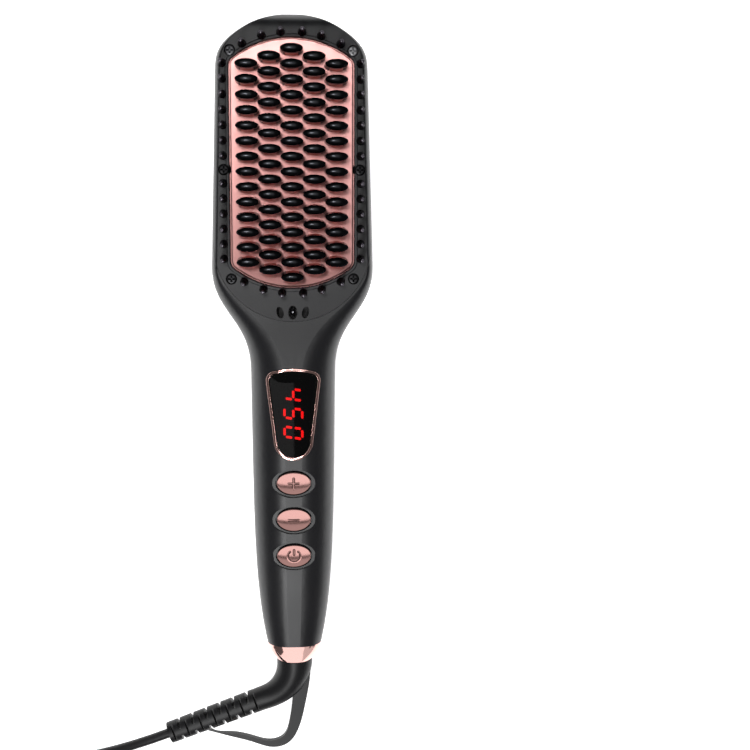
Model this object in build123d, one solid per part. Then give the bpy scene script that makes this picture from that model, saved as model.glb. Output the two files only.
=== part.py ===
from build123d import *
import os
from math import asin, cos, pi, radians, sin, sqrt, tan

# A heated hair straightening brush with a corded swivel tail, in millimetres.
# It lies on its back: +Z points out of the teeth, +Y towards the head's tip.
# The origin is under the middle of the brush, at the level of the table.

# Overall body
body_length = 260.2
head_reach = 131.0
head_length = 98.0
shoulder_length = 42.0
shoulder_skew = 0.887
shoulder_power = 1.89
collar_length = 7.2
head_half_width = 32.05
head_taper = 0.0296
tip_radius = 38.0
tip_corner_radius = 13.2
tip_corner_drop = 19.2
neck_half_width = 16.95
handle_taper = 1.15
end_half_width = 11.15
head_front_z = 22.0
handle_front_z = 27.3
end_front_z = 22.4
end_back_z = 4.6
seam_z = 13.5
rest_cut = 0.1
wall = 2.0
shell_gap = 0.12

# Rounding of the head's tip, seen from the side
front_tip_round = 5.2
back_tip_round = 19.0
tip_overrun = 0.2
blunt_share = 0.999

# Share of the half width that is flat, front and back, at the head and along the handle
head_front_flat = 0.92
head_back_flat = 0.52
handle_flat = 0.2

# How the handle's sides, front and back run towards its end
end_narrow_power = 5
front_rise_drop = 7.0
front_fall_power = 3.2
back_rise_power = 5

# Cross sections that the body's form goes through
tip_arc_shares = (0.1, 0.25, 0.42, 0.6, 0.8, 1.0)
corner_arc_shares = (0.3, 0.62, 1.0)
head_sections = 10
shoulder_sections = 8
handle_sections = 11

# Head panel on the back, bounded by a groove
panel_half_width = 23.4
panel_flare = 0.018
panel_tip_inset = 8.7
panel_tip_radius = 31.0
panel_corner_radius = 6.5
panel_corner_drop = 14.0
groove_width = 1.0
groove_depth = 0.7

# Ribbed thumb rest on the back of the neck
grip_centre_y = 5.5
grip_width = 30.0
grip_height = 26.4
grip_pitch = 2.0
grip_groove = 1.0
grip_depth = 0.6
grip_count = 15

# Front frame of the head
bezel_seam_z = 16.0
bezel_arc_radius = 31.0
bezel_arc_low_y = 12.2
plate_half_width = 23.75
plate_length = 95.5
plate_tip_inset = 9.7
plate_end_radius = 37.0
plate_corner_radius = 3.5
plate_gap = 0.5
lip_width = 1.4
lip_height = 0.5
lip_round = 0.45

# Heating plate and its teeth
plate_thickness = 3.4
plate_proud = 0.2
flange_width = 1.5
flange_thickness = 1.0
plate_edge_round = 0.5
column_pitch = 8.55
row_pitch = 5.76
column_counts = (14, 15, 16, 15, 14)
tooth_height = 14.0
tooth_base_length = 9.1
tooth_base_width = 4.2
tooth_tip_length = 8.7
tooth_tip_width = 3.5
tooth_dome = 1.7
tooth_dome_shares = (0.0, 0.45, 0.8, 0.95)
tooth_window = 5.3
tooth_cap_depth = 5.0
fin_clearance = 0.12
fin_inset = 0.18

# Rim nubs round the plate
nub_offset = 2.95
nub_base_radius = 1.65
nub_tip_radius = 0.85
nub_height = 12.6
nub_root = 1.5
nub_slack = 0.03
nub_pitch = 5.87
nub_first = 5.3
nubs_above = 7
nubs_below = 6
nub_arc_radius = 41.0
nub_end_gap = 2.6
nub_arc_angles = (5.8, 16.2, 27.5)

# Screws of the front frame
frame_screw_mid_y = 71.4
frame_screw_half_mid = 26.5
frame_screw_half_top = 23.7
frame_screw_top_y = 116.8
frame_screw_half_low = 24.0
frame_screw_low_y = 28.9
screw_head_radius = 2.1
screw_head_height = 1.5
screw_recess = 0.35
screw_shank_radius = 1.2
screw_length = 9.0
screw_slack = 0.12
screw_round_share = 0.35
screw_point_share = 0.4
boss_radius = 2.2
pad_radius = 2.5
pad_depth = 1.4
screw_notch_radius = 2.9
post_inset = 0.15
post_gap = 0.1
post_turn_z = 8.0
cross_length = 2.4
cross_width = 0.55
cross_depth = 0.7

# Vents for the ion outlet
vent_y = 15.7
vent_spacing = 5.0
vent_length = 4.6
vent_width = 2.8
middle_vent_length = 5.4
middle_vent_width = 3.6
vent_lean = 15.0

# Heater stack under the plate
heater_length = 58.0
heater_width = 12.0
heater_thickness = 2.2
heater_spacing = 18.0
stack_gap = 0.1
mica_thickness = 0.4
mica_width = 30.4
clamp_thickness = 0.8
clamp_width = 39.6
clamp_length = 62.0
clamp_screw_across = 35.4
clamp_screw_along = 48.0
clamp_boss_radius = 2.3
clamp_screw_radius = 1.2
clamp_screw_head = 2.4
clamp_screw_length = 3.0
clamp_head_height = 1.4
thermistor_radius = 1.05
thermistor_length = 8.0
thermistor_along = 10.0
fuse_radius = 2.0
fuse_length = 11.0
fuse_along = 16.0
felt_thickness = 0.8
felt_length = 76.0
felt_width = 30.0
carrier_width = 3.2
carrier_thickness = 2.2
carrier_rest = 1.3
carrier_post_x = 21.8
carrier_post_along = 34.0
carrier_post_radius = 1.6
lead_slot_room = 1.4

# Ion generator under the vents
ion_width = 16.0
ion_length = 26.0
ion_height = 10.0
ion_low_z = 3.6
ion_rib_spacing = 18.0
ion_y = 15.0
emitter_radius = 1.2
emitter_depth = 0.7
emitter_point = 0.84

# Display window
display_top_y = -7.2
display_shoulder_y = -9.0
display_low_y = -36.0
display_bottom_y = -41.9
display_half_top = 10.05
display_half_low = 6.7
display_corner = 3.1
trim_width = 1.0
trim_proud = 0.3
lens_thickness = 1.6
lens_inset = 0.25
fit_gap = 0.1
module_width = 15.0
module_length = 25.0
module_clearance = 1.4
digit_segments = ("fgbc", "afgcd", "abcdef")
digit_pitch = 7.75
digit_height = 8.0
digit_width = 5.0
segment_width = 0.95
segment_gap = 0.14
segment_thickness = 0.25
digit_slant = 8.0

# Buttons
button_names = ("plus", "minus", "power")
first_button_y = -52.4
button_pitch = 15.05
button_length = 13.7
button_width = 9.2
button_dome_radius = 26.0
button_proud = 0.2
button_gap = 0.5
button_travel = 0.5
button_flange = 0.8
button_flange_depth = 4.0
button_flange_thickness = 0.8
dish_length = 17.2
dish_width = 11.8
dish_depth = 1.15
symbol_length = 4.7
symbol_height = 5.2
symbol_line = 0.95
symbol_depth = 0.35
power_ring_radius = 2.85
power_gap_angle = 62.0
power_bar_length = 2.6

# Control board in the handle
board_half_width = 11.0
board_front_y = 2.0
board_back_y = -94.0
board_top_z = 19.0
board_thickness = 1.6
switch_size = 6.0
switch_height = 2.4
plunger_radius = 1.6
plunger_depth = 0.9
plunger_floor_gap = 0.2
plunger_slack = 0.15
board_screw_x = 8.4
board_screw_inset = 3.2
board_boss_radius = 2.1
board_screw_radius = 0.9
board_screw_head = 1.8
board_screw_depth = 4.0
board_head_height = 1.2
film_size = (13.0, 9.0, 6.0)
film_y = -20.0
film_round = 1.0
triac_size = (10.2, 15.0, 4.4)
triac_y = -48.0
smoothing_radius = 4.0
smoothing_length = 11.0
smoothing_y = -74.0

# Swivel at the handle's end
collar_end_radius = 7.3
collar_ease = 1.8
collar_end_flat = 0.3
stem_radius = 5.6
swivel_slack = 0.06
swivel_end_gap = 0.25
flange_radius = 6.9
swivel_flange = 1.6
retainer_radius = 7.3
retainer_thickness = 2.0
spindle_radius = 3.4
spindle_length = 14.0
ring_radius = 4.3
ring_width = 2.4
ring_offsets = (3.2, 9.2)
brush_width = 1.6
brush_gap = 0.06
brush_length = 0.94
block_width = 8.0
block_thickness = 1.6
block_length = 9.5
block_seat_width = 6.0
handle_screw_half = 8.5
handle_screw_y = -115.8
handle_boss_radius = 3.0
handle_seat_z = 7.5

# Strain relief with its hanging loop
elbow_radius = 7.3
relief_gap = 0.25
elbow_corner = 12.4
elbow_bend = 16.5
elbow_shares = (0.0, 0.2, 0.4, 0.6, 0.8, 1.0)
relief_slope = 20.4
rib_start = 17.1
rib_count = 7
rib_pitch = 6.05
rib_length = 4.4
rib_first_radius = 4.9
rib_last_radius = 4.45
notch_floor = 1.45
notch_floor_width = 0.9
slot_floor = 2.4
slot_width = 0.8
loop_thickness = 2.6
loop_outer = ((6.7, -133.0), (6.2, -138.8), (4.2, -150.0), (1.7, -159.5), (-3.1, -166.5), (-8.9, -168.1),
              (-17.5, -165.7), (-27.0, -162.9), (-38.0, -159.6))
loop_inner = ((-36.3, -158.2), (-34.6, -160.4), (-27.2, -161.6), (-17.6, -163.6), (-10.4, -165.3),
              (-5.0, -163.4), (-2.4, -157.2), (-1.0, -147.0), (-0.6, -141.5))

# Mains cord and its plug
cord_diameter = 4.0
cord_length = 1800.0
cord_floor_gap = 0.05
lead_runs = (17.0, 31.0, 24.0)
coil_turns = 11.5
coil_layers = 4
coil_pitch = 4.6
coil_rise = 4.55
coil_start_angle = 90.0
tail_runs = (14.0, 26.0, 14.0)
plug_length = 30.0
plug_width = 24.0
plug_thickness = 14.0
plug_round = 4.0
plug_end_round = 2.8
plug_aside = 8.0
plug_nose_radius = 5.4
plug_nose_tip = 3.2
plug_nose_length = 16.0
plug_rib_count = 4
plug_rib_rise = 0.7
plug_rib_width = 2.0
blade_spacing = 12.7
blade_length = 17.0
blade_width = 6.35
blade_thickness = 1.5
blade_root = 3.0
blade_eye_radius = 1.5
blade_point = 0.9

# Leads inside the body
lead_radius = 0.6
sensor_lead_radius = 0.4
lead_slot_gap = 0.24
lead_z = 18.0
heater_lead_x = 6.4
ion_lead_x = 4.2
sensor_lead_x = 2.2
mains_lead_x = 2.5
sensor_lead_half = 0.6
ion_lead_reach = 7.0
mains_lead_reach = 4.0
lead_bend_share = 0.4

# Places worked out from the sizes
tip_y = head_reach
tail_y = tip_y - body_length
end_y = tail_y + collar_length
corner_y = tip_y - tip_radius
shoulder_y = tip_y - head_length
neck_y = shoulder_y - shoulder_length
plate_centre_y = tip_y - plate_tip_inset - plate_length / 2
plate_top_z = head_front_z + plate_proud
plate_bottom_z = plate_top_z - plate_thickness
heater_low_z = plate_bottom_z - stack_gap - heater_thickness
clamp_top_z = heater_low_z - 2 * stack_gap - mica_thickness
seat_z = head_front_z - screw_recess - screw_head_height
screw_end_z = seat_z - screw_length - screw_slack
pad_bottom_z = head_front_z - wall - pad_depth
post_top_z = pad_bottom_z - post_gap
ion_high_z = ion_low_z + ion_height
display_middle_y = (display_top_y + display_bottom_y) / 2
module_top_z = handle_front_z - lens_inset - lens_thickness - module_clearance
plunger_low_z = board_top_z + switch_height - plunger_depth
plunger_floor_z = plunger_low_z - button_travel - plunger_floor_gap
retainer_in_y = end_y + retainer_thickness
flange_y = end_y - swivel_end_gap
pocket_y = flange_y - swivel_flange - swivel_end_gap
stem_y = tail_y - relief_gap
ring_faces = [retainer_in_y + step for step in ring_offsets]
brush_low_z = seam_z + ring_radius + brush_gap
block_top_z = brush_low_z + brush_length + block_thickness
block_back_y = (ring_faces[0] + ring_faces[-1] + ring_width - block_length) / 2
cord_z = cord_diameter / 2 + cord_floor_gap
floor_z = wall - rest_cut
nub_low_z = head_front_z - nub_root
lead_slot_half = heater_lead_x + lead_radius + lead_slot_room


def smooth(share):
    """Ease from 0 to 1 along a smooth step."""
    share = min(max(share, 0.0), 1.0)
    return share * share * (3 - 2 * share)


def round_off(distance, reach):
    """Height share left at a distance into a rounded end of the given reach."""
    share = min(max(distance, 0.0) / reach, blunt_share)
    return sqrt(1 - share * share)


def spread(count, ease=0.6):
    """Shares from 0 to 1, closer together at both ends."""
    steps = [step / count for step in range(1, count + 1)]
    return [(1 - ease) * step + ease * (1 - cos(pi * step)) / 2 for step in steps]


def tip_arcs():
    """Centre of the corner's arc, and the angle where it meets the arc round the head's tip."""
    side = head_half_width - head_taper * (tip_y - tip_corner_drop - shoulder_y)
    centre_x = side - tip_corner_radius
    angle = asin(centre_x / (tip_radius - tip_corner_radius))
    centre_y = corner_y + (tip_radius - tip_corner_radius) * cos(angle)
    return centre_x, centre_y, angle


def tip_stations(inset):
    """Places along Y and plan half widths round the head's tip, by the arcs' angle."""
    centre_x, centre_y, angle = tip_arcs()
    found = []
    for share in tip_arc_shares:
        turn = angle * share
        radius = tip_radius - inset
        found.append((corner_y + radius * cos(turn), radius * sin(turn)))
    for share in corner_arc_shares:
        turn = angle + (pi / 2 - angle) * share
        radius = tip_corner_radius - inset
        found.append((centre_y + radius * cos(turn), centre_x + radius * sin(turn)))
    return found


def shoulder_share(y):
    """Share of the way from the head's width to the neck's, along an S curve."""
    place = (shoulder_y - y) / shoulder_length
    if place <= 0 or place >= 1:
        return float(place >= 1)
    return 1 / (1 + (shoulder_skew * (1 - place) / place) ** shoulder_power)


def handle_share(y):
    """Share of the way from the neck to the handle's end."""
    return min(max((neck_y - y) / (neck_y - end_y), 0.0), 1.0)


def half_width(y):
    """Plan half width of the head's sides, the shoulder and the handle."""
    if y >= shoulder_y:
        return head_half_width - head_taper * (y - shoulder_y)
    if y >= neck_y:
        return head_half_width + (neck_half_width - head_half_width) * shoulder_share(y)
    share = handle_share(y)
    narrowing = neck_half_width - handle_taper - end_half_width
    return neck_half_width - handle_taper * share - narrowing * share ** end_narrow_power


def front_z(y, inset=0.0):
    """Highest level of the body at a place along Y."""
    rise = smooth((shoulder_y - front_rise_drop - y) / shoulder_length)
    handle = handle_front_z - (handle_front_z - end_front_z) * handle_share(y) ** front_fall_power
    top = head_front_z + (handle - head_front_z) * rise
    reach = front_tip_round + tip_overrun - inset
    drop = round_off(y - (tip_y - front_tip_round), reach)
    return seam_z + (top - inset - seam_z) * drop


def back_z(y, inset=0.0):
    """Lowest level of the body at a place along Y."""
    low = (end_back_z + rest_cut) * handle_share(y) ** back_rise_power - rest_cut
    reach = back_tip_round + tip_overrun - inset
    drop = round_off(y - (tip_y - back_tip_round), reach)
    return seam_z - (seam_z - low - inset) * drop


def section(y, half, front, back, front_flat, back_flat):
    """A cross section: flat front and back joined by four elliptical corners."""
    corners = []
    for side, flat, level, start in ((1, front_flat, front, 0), (-1, front_flat, front, 90),
                                     (-1, back_flat, back, 180), (1, back_flat, back, 270)):
        centre = (side * flat, seam_z)
        radii = (half - flat, abs(level - seam_z))
        corners.append(EllipticalCenterArc(centre, *radii, start_angle=start, arc_size=90))
    edges = [corners[0], Line((front_flat, front), (-front_flat, front)), corners[1],
             corners[2], Line((-back_flat, back), (back_flat, back)), corners[3]]
    plane = Plane(origin=(0, y, 0), x_dir=(1, 0, 0), z_dir=(0, -1, 0))
    return plane * make_face(edges)


def body_face(y, half, front, back):
    """Cross section of the body at a place along Y."""
    blend = smooth((shoulder_y - y) / shoulder_length)
    front_flat = half * (head_front_flat + (handle_flat - head_front_flat) * blend)
    back_flat = half * (head_back_flat + (handle_flat - head_back_flat) * blend)
    return section(y, half, front, back, front_flat, back_flat)


def body(inset=0.0, low_y=None):
    """The body's whole form, drawn in by an inset all round, down to a place along Y."""
    low_y = end_y if low_y is None else low_y
    stations = tip_stations(inset)
    corner_low = stations[-1][0]
    for high, low, count in ((corner_low, shoulder_y, head_sections), (shoulder_y, neck_y, shoulder_sections),
                             (neck_y, low_y, handle_sections)):
        for share in spread(count):
            y = high + (low - high) * share
            stations.append((y, half_width(y) - inset))
    faces = [body_face(y, half, front_z(y, inset), back_z(y, inset)) for y, half in stations]
    return loft(faces)


def slab(low, high):
    """A box between two corners."""
    size = [b - a for a, b in zip(low, high)]
    middle = [(a + b) / 2 for a, b in zip(low, high)]
    return Pos(*middle) * Box(*size)


def prism(sketch, low_z, high_z):
    """A flat sketch made solid between two levels."""
    return extrude(Pos(0, 0, low_z) * sketch, amount=high_z - low_z)


def rod(radius, start, end):
    """A straight round bar between two points."""
    axis = Vector(*end) - Vector(*start)
    plane = Plane(origin=start, z_dir=axis)
    return extrude(plane * Circle(radius), amount=axis.length)


def tube(points, radius, bends):
    """A round wire along straight runs joined by tangent arcs."""
    path = FilletPolyline(*points, radius=bends)
    start = Plane(origin=path @ 0, z_dir=path % 0)
    return sweep(start * Circle(radius), path=path)


def bend_radii(points, share=0.45):
    """Radius at each inner point, a share of the shorter run beside it."""
    radii = []
    for before, here, after in zip(points, points[1:], points[2:]):
        arriving = Vector(*here) - Vector(*before)
        leaving = Vector(*after) - Vector(*here)
        half_turn = radians(arriving.get_angle(leaving) / 2)
        radii.append(share * min(arriving.length, leaving.length) / tan(half_turn))
    return radii


def save(name, shape):
    """Write one sub-part."""
    export_step(shape, os.path.join("parts", name + ".step"))
    print(name, len(shape.solids()), round(sum(s.volume for s in shape.solids()), 2))


def plate_outline(grow=0.0):
    """Plan outline of the heating plate: straight sides, arched ends, rounded corners."""
    ends = plate_length / 2 - plate_end_radius
    arched = Rectangle(2 * plate_end_radius, 2 * ends)
    arched += [Pos(0, end * ends) * Circle(plate_end_radius) for end in (-1, 1)]
    block = Rectangle(2 * plate_half_width, plate_length) & arched
    block = fillet(block.vertices(), plate_corner_radius)
    if grow:
        block = offset(block, grow)
    return Pos(0, plate_centre_y) * block


def panel_outline(grow=0.0):
    """Plan outline of the rear casing: an arched tip and sides that flare to the handle's end."""
    top = tip_y - panel_tip_inset
    shoulder = top - panel_corner_drop
    low = -body_length
    wide = panel_half_width + panel_flare * (shoulder - low)
    sides = make_face(Polyline((-panel_half_width, top), (panel_half_width, top),
                               (panel_half_width, shoulder), (wide, low), (-wide, low),
                               (-panel_half_width, shoulder), close=True))
    arch = Pos(0, top - panel_tip_radius) * Circle(panel_tip_radius)
    arch += Pos(0, (shoulder + low) / 2) * Rectangle(body_length, shoulder - low)
    block = sides & arch
    corners = [corner for corner in block.vertices() if shoulder < corner.Y - fit_gap < top - 2 * fit_gap]
    block = fillet(corners, panel_corner_radius)
    return offset(block, grow) if grow else block


def frame_screw_places():
    """Centres of the six screws of the front frame."""
    rows = ((frame_screw_half_top, frame_screw_top_y), (frame_screw_half_mid, frame_screw_mid_y),
            (frame_screw_half_low, frame_screw_low_y))
    return [(side * half, y) for half, y in rows for side in (-1, 1)]


def nub_places():
    """Centres of the nubs: two side rows and an arc across each end."""
    side = plate_half_width + nub_offset
    places = []
    for number in range(nubs_above):
        y = frame_screw_mid_y + nub_first + number * nub_pitch
        places += [(-side, y), (side, y)]
    for number in range(nubs_below):
        y = frame_screw_mid_y - nub_first - number * nub_pitch
        places += [(-side, y), (side, y)]
    top = plate_centre_y + plate_length / 2 + nub_end_gap
    low = plate_centre_y - plate_length / 2 - nub_end_gap
    for angle in nub_arc_angles:
        across = nub_arc_radius * sin(radians(angle))
        drop = nub_arc_radius * (1 - cos(radians(angle)))
        for x in (-across, across):
            places += [(x, top - drop), (x, low + drop)]
    return places


def tooth_places():
    """Centres of the teeth, one list per column."""
    columns = []
    for number, count in enumerate(column_counts):
        x = (number - (len(column_counts) - 1) / 2) * column_pitch
        columns.append([(x, plate_centre_y + (row - (count - 1) / 2) * row_pitch) for row in range(count)])
    return columns


def bezel_region(grow=0.0):
    """Space that the front frame takes: above an arc across the shoulder, from its seam up."""
    centre_y = bezel_arc_low_y + bezel_arc_radius
    arc = Pos(0, centre_y) * Circle(bezel_arc_radius + grow)
    above = Pos(0, centre_y + body_length / 2) * Rectangle(body_length, body_length)
    return prism(arc + above, bezel_seam_z - grow, body_length)


def display_outline(grow=0.0):
    """Plan outline of the display: an arched top, tapering sides and a rounded bottom."""
    top = ThreePointArc((-display_half_top, display_shoulder_y), (0, display_top_y),
                        (display_half_top, display_shoulder_y))
    low = ThreePointArc((display_half_low, display_low_y), (0, display_bottom_y),
                        (-display_half_low, display_low_y))
    block = make_face([top, Line(top @ 1, low @ 0), low, Line(low @ 1, top @ 0)])
    block = fillet(block.vertices(), display_corner)
    return offset(block, grow) if grow else block


def oval(length, width, grow=0.0):
    """Plan outline of a button or of its dish."""
    return Ellipse(length / 2 + grow, width / 2 + grow)


def button_y(number):
    """Place along Y of a button, counted from the display."""
    return first_button_y - number * button_pitch


def vent_ovals():
    """Plan outlines of the three vents in the front frame."""
    middle = Pos(0, vent_y) * Ellipse(middle_vent_width / 2, middle_vent_length / 2)
    vents = [middle]
    for side in (-1, 1):
        leaning = Rot(0, 0, -side * vent_lean) * Ellipse(vent_width / 2, vent_length / 2)
        vents.append(Pos(side * vent_spacing, vent_y) * leaning)
    return vents


def grip_grooves():
    """Plan outlines of the grooves of the thumb rest, shorter towards its sides."""
    grooves = []
    for number in range(grip_count):
        x = (number - (grip_count - 1) / 2) * grip_pitch
        length = grip_height * sqrt(1 - (x / (grip_width / 2 + grip_groove)) ** 2)
        grooves.append(Pos(x, grip_centre_y) * SlotOverall(length, grip_groove, rotation=90))
    return grooves


def post(x, y, radius, low, high):
    """An upright round post."""
    return Pos(x, y, low) * Cylinder(radius, high - low, align=(Align.CENTER, Align.CENTER, Align.MIN))


def frame_screw_holes(radius, low, high):
    """One upright cylinder at each screw of the front frame."""
    return [post(x, y, radius, low, high) for x, y in frame_screw_places()]


def screw(head_radius, head_height, shank_radius, length):
    """A cross recessed screw with its seat at the origin and its shank going down."""
    body_of_screw = post(0, 0, head_radius, 0, head_height)
    body_of_screw = fillet(body_of_screw.edges().group_by(Axis.Z)[-1], head_height * screw_round_share)
    recess = Box(cross_length, cross_width, cross_depth) + Box(cross_width, cross_length, cross_depth)
    body_of_screw -= Pos(0, 0, head_height - cross_depth / 2) * recess
    shank = post(0, 0, shank_radius, -length, 0)
    return body_of_screw + chamfer(shank.edges().group_by(Axis.Z)[0], shank_radius * screw_point_share)


def board_screw_places():
    """Centres of the four screws of the control board."""
    return [(side * board_screw_x, y) for side in (-1, 1)
            for y in (board_front_y - board_screw_inset, board_back_y + board_screw_inset)]


def make_shells(outer, inner):
    """Front and rear casings, split along the panel's outline and the seam; the rear one rests flat."""
    shell = outer - inner
    front = shell - prism(panel_outline(), -wall, seam_z) - bezel_region(shell_gap)
    rear_space = prism(panel_outline(-shell_gap), 0, seam_z - shell_gap)
    rear = shell & rear_space
    return front, rear


def dress_front_shell(front, outer, inner):
    """Add bosses to the front casing and cut its groove, display and button openings."""
    groove = prism(panel_outline(groove_width), -wall, seam_z - wall) - prism(panel_outline(), -wall, seam_z)
    front -= groove & (outer - body(groove_depth))
    bosses = []
    for x, y in board_screw_places():
        bosses.append(post(x, y, board_boss_radius, board_top_z, handle_front_z) & inner)
    for side in (-1, 1):
        bosses.append(post(side * handle_screw_half, handle_screw_y, handle_boss_radius, seam_z,
                           handle_front_z) & outer)
    seat = slab((-block_seat_width / 2, block_back_y, block_top_z),
                (block_seat_width / 2, block_back_y + block_length, handle_front_z))
    bosses.append(seat & inner)
    slim = body(wall + post_inset)
    for x, y in frame_screw_places()[:4]:
        low = post(x, y, boss_radius, 0, bezel_seam_z - shell_gap) & outer
        high = post(x, y, boss_radius, bezel_seam_z - shell_gap, post_top_z) & slim
        bosses += [low, high]
    front += bosses
    holes = [post(x, y, board_screw_radius + screw_slack, seam_z, board_top_z + board_screw_depth)
             for x, y in board_screw_places()]
    holes += frame_screw_holes(screw_shank_radius + screw_slack, screw_end_z, post_top_z + wall)[:4]
    for side in (-1, 1):
        holes.append(post(side * handle_screw_half, handle_screw_y, screw_shank_radius + screw_slack,
                          seam_z - wall, handle_seat_z + screw_length + screw_slack))
    front -= holes
    front -= prism(display_outline(trim_width + fit_gap), seam_z + wall, body_length)
    for number in range(len(button_names)):
        place = Pos(0, button_y(number))
        top = front_z(button_y(number))
        front -= prism(place * oval(dish_length, dish_width), top - dish_depth, body_length)
        hole = place * oval(button_length, button_width, button_gap)
        front -= prism(hole, board_top_z + switch_height, body_length)
    return front


def dress_rear_shell(rear, outer, inner):
    """Add posts and bosses to the rear casing and cut its thumb rest and screw holes."""
    bosses = []
    panel = prism(panel_outline(-shell_gap), -wall, post_turn_z)
    for x, y in frame_screw_places()[4:]:
        bosses.append(post(x, y, boss_radius, 0, post_turn_z) & outer & panel)
        bosses.append(post(x, y, boss_radius, post_turn_z, post_top_z) & inner)
    for side in (-1, 1):
        for along in (-carrier_post_along, carrier_post_along):
            column = post(side * carrier_post_x, plate_centre_y + along, carrier_post_radius, 0,
                          heater_low_z)
            bosses.append(column & outer)
        column = post(side * handle_screw_half, handle_screw_y, handle_boss_radius, 0,
                      seam_z - shell_gap)
        bosses.append(column & outer)
    for y in (ion_y - ion_rib_spacing / 2, ion_y + ion_rib_spacing / 2):
        rib = slab((-ion_width / 2 + wall, y - wall / 2, wall / 2),
                   (ion_width / 2 - wall, y + wall / 2, ion_low_z))
        bosses.append(rib & outer)
    rear += bosses
    holes = frame_screw_holes(screw_shank_radius + screw_slack, screw_end_z, post_top_z + wall)[4:]
    for side in (-1, 1):
        holes.append(post(side * handle_screw_half, handle_screw_y, screw_head_radius + screw_slack,
                          -wall, handle_seat_z))
        holes.append(post(side * handle_screw_half, handle_screw_y, screw_shank_radius + screw_slack,
                          -wall, seam_z))
    rear -= holes
    grooves = [prism(groove, -wall, seam_z - wall) for groove in grip_grooves()]
    skin = (outer - body(grip_depth)) & slab((-grip_width, grip_centre_y - grip_height, -wall),
                                             (grip_width, grip_centre_y + grip_height, seam_z))
    rear -= [groove & skin for groove in grooves]
    return rear


def make_bezel(outer, inner):
    """Front frame of the head with its plate opening, raised lip, screw seats, vents and nub sockets."""
    bezel = (outer - inner) & bezel_region()
    lip = plate_outline(plate_gap + lip_width) - plate_outline(plate_gap)
    lip = prism(lip, head_front_z - lip_height, head_front_z + lip_height)
    lip = fillet(lip.edges().group_by(Axis.Z)[-1], lip_round)
    pads = [pad & inner for pad in frame_screw_holes(pad_radius, pad_bottom_z, head_front_z)]
    bezel += [lip] + pads
    bezel -= prism(plate_outline(plate_gap), pad_bottom_z, body_length)
    bezel -= frame_screw_holes(screw_shank_radius + screw_slack, 0, body_length)
    bezel -= frame_screw_holes(screw_head_radius + screw_slack, seat_z, body_length)
    bezel -= [prism(vent, seam_z, body_length) for vent in vent_ovals()]
    bezel -= [post(x, y, nub_base_radius + nub_slack, nub_low_z, body_length) for x, y in nub_places()]
    return bezel


def make_nubs():
    """Nubs round the plate: round tipped cones, each seated in its socket in the front frame."""
    height = nub_height + nub_root
    nub = Cone(nub_base_radius, nub_tip_radius, height, align=(Align.CENTER, Align.CENTER, Align.MIN))
    nub += Pos(0, 0, height) * Sphere(nub_tip_radius)
    return Compound(children=[Pos(x, y, nub_low_z) * nub for x, y in nub_places()])


def make_plate():
    """Heating plate with a flange under the front frame and bosses for the heater clamp."""
    plate = prism(plate_outline(), plate_bottom_z, plate_top_z)
    plate = fillet(plate.edges().group_by(Axis.Z)[-1], plate_edge_round)
    flange = prism(plate_outline(flange_width), plate_bottom_z, plate_bottom_z + flange_thickness)
    plate += flange - frame_screw_holes(screw_notch_radius, 0, body_length)
    for x, y in clamp_screw_places():
        plate += post(x, y, clamp_boss_radius, clamp_top_z, plate_bottom_z)
        plate -= post(x, y, clamp_screw_radius + screw_slack, 0, clamp_top_z + clamp_screw_length)
    return plate


def clamp_screw_places():
    """Centres of the four screws of the heater clamp."""
    return [(side * clamp_screw_across / 2, plate_centre_y + end * clamp_screw_along / 2)
            for side in (-1, 1) for end in (-1, 1)]


def tooth_form(inset=0.0):
    """One tooth: an oval post that narrows to a domed tip, standing on the origin."""
    shares = (0.0, 0.5, 1.0)
    faces = []
    for share in shares:
        length = tooth_base_length + (tooth_tip_length - tooth_base_length) * share
        width = tooth_base_width + (tooth_tip_width - tooth_base_width) * share
        level = (tooth_height - tooth_dome) * share
        faces.append(Pos(0, 0, level) * Ellipse(length / 2 - inset, width / 2 - inset))
    dome_low = tooth_height - tooth_dome
    for share in tooth_dome_shares:
        length = tooth_tip_length * round_off(share, 1.0) / 2 - inset
        width = tooth_tip_width * round_off(share, 1.0) / 2 - inset
        faces.append(Pos(0, 0, dome_low + tooth_dome * share) * Ellipse(length, width))
    return loft(faces[:3], ruled=True) + loft(faces[2:], ruled=True)


def make_tooth_cap():
    """Heat safe cap of one tooth, with a window across it for the hot fin."""
    window_high = tooth_height - tooth_cap_depth
    window = slab((-tooth_window / 2, -tooth_base_width, 0),
                  (tooth_window / 2, tooth_base_width, window_high))
    return tooth_form() - window


def make_tooth_fin():
    """Hot fin that fills the window of one tooth."""
    half = tooth_window / 2 - fin_clearance
    high = tooth_height - tooth_cap_depth - fin_clearance
    return tooth_form(fin_inset) & slab((-half, -tooth_base_width, 0), (half, tooth_base_width, high))


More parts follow.
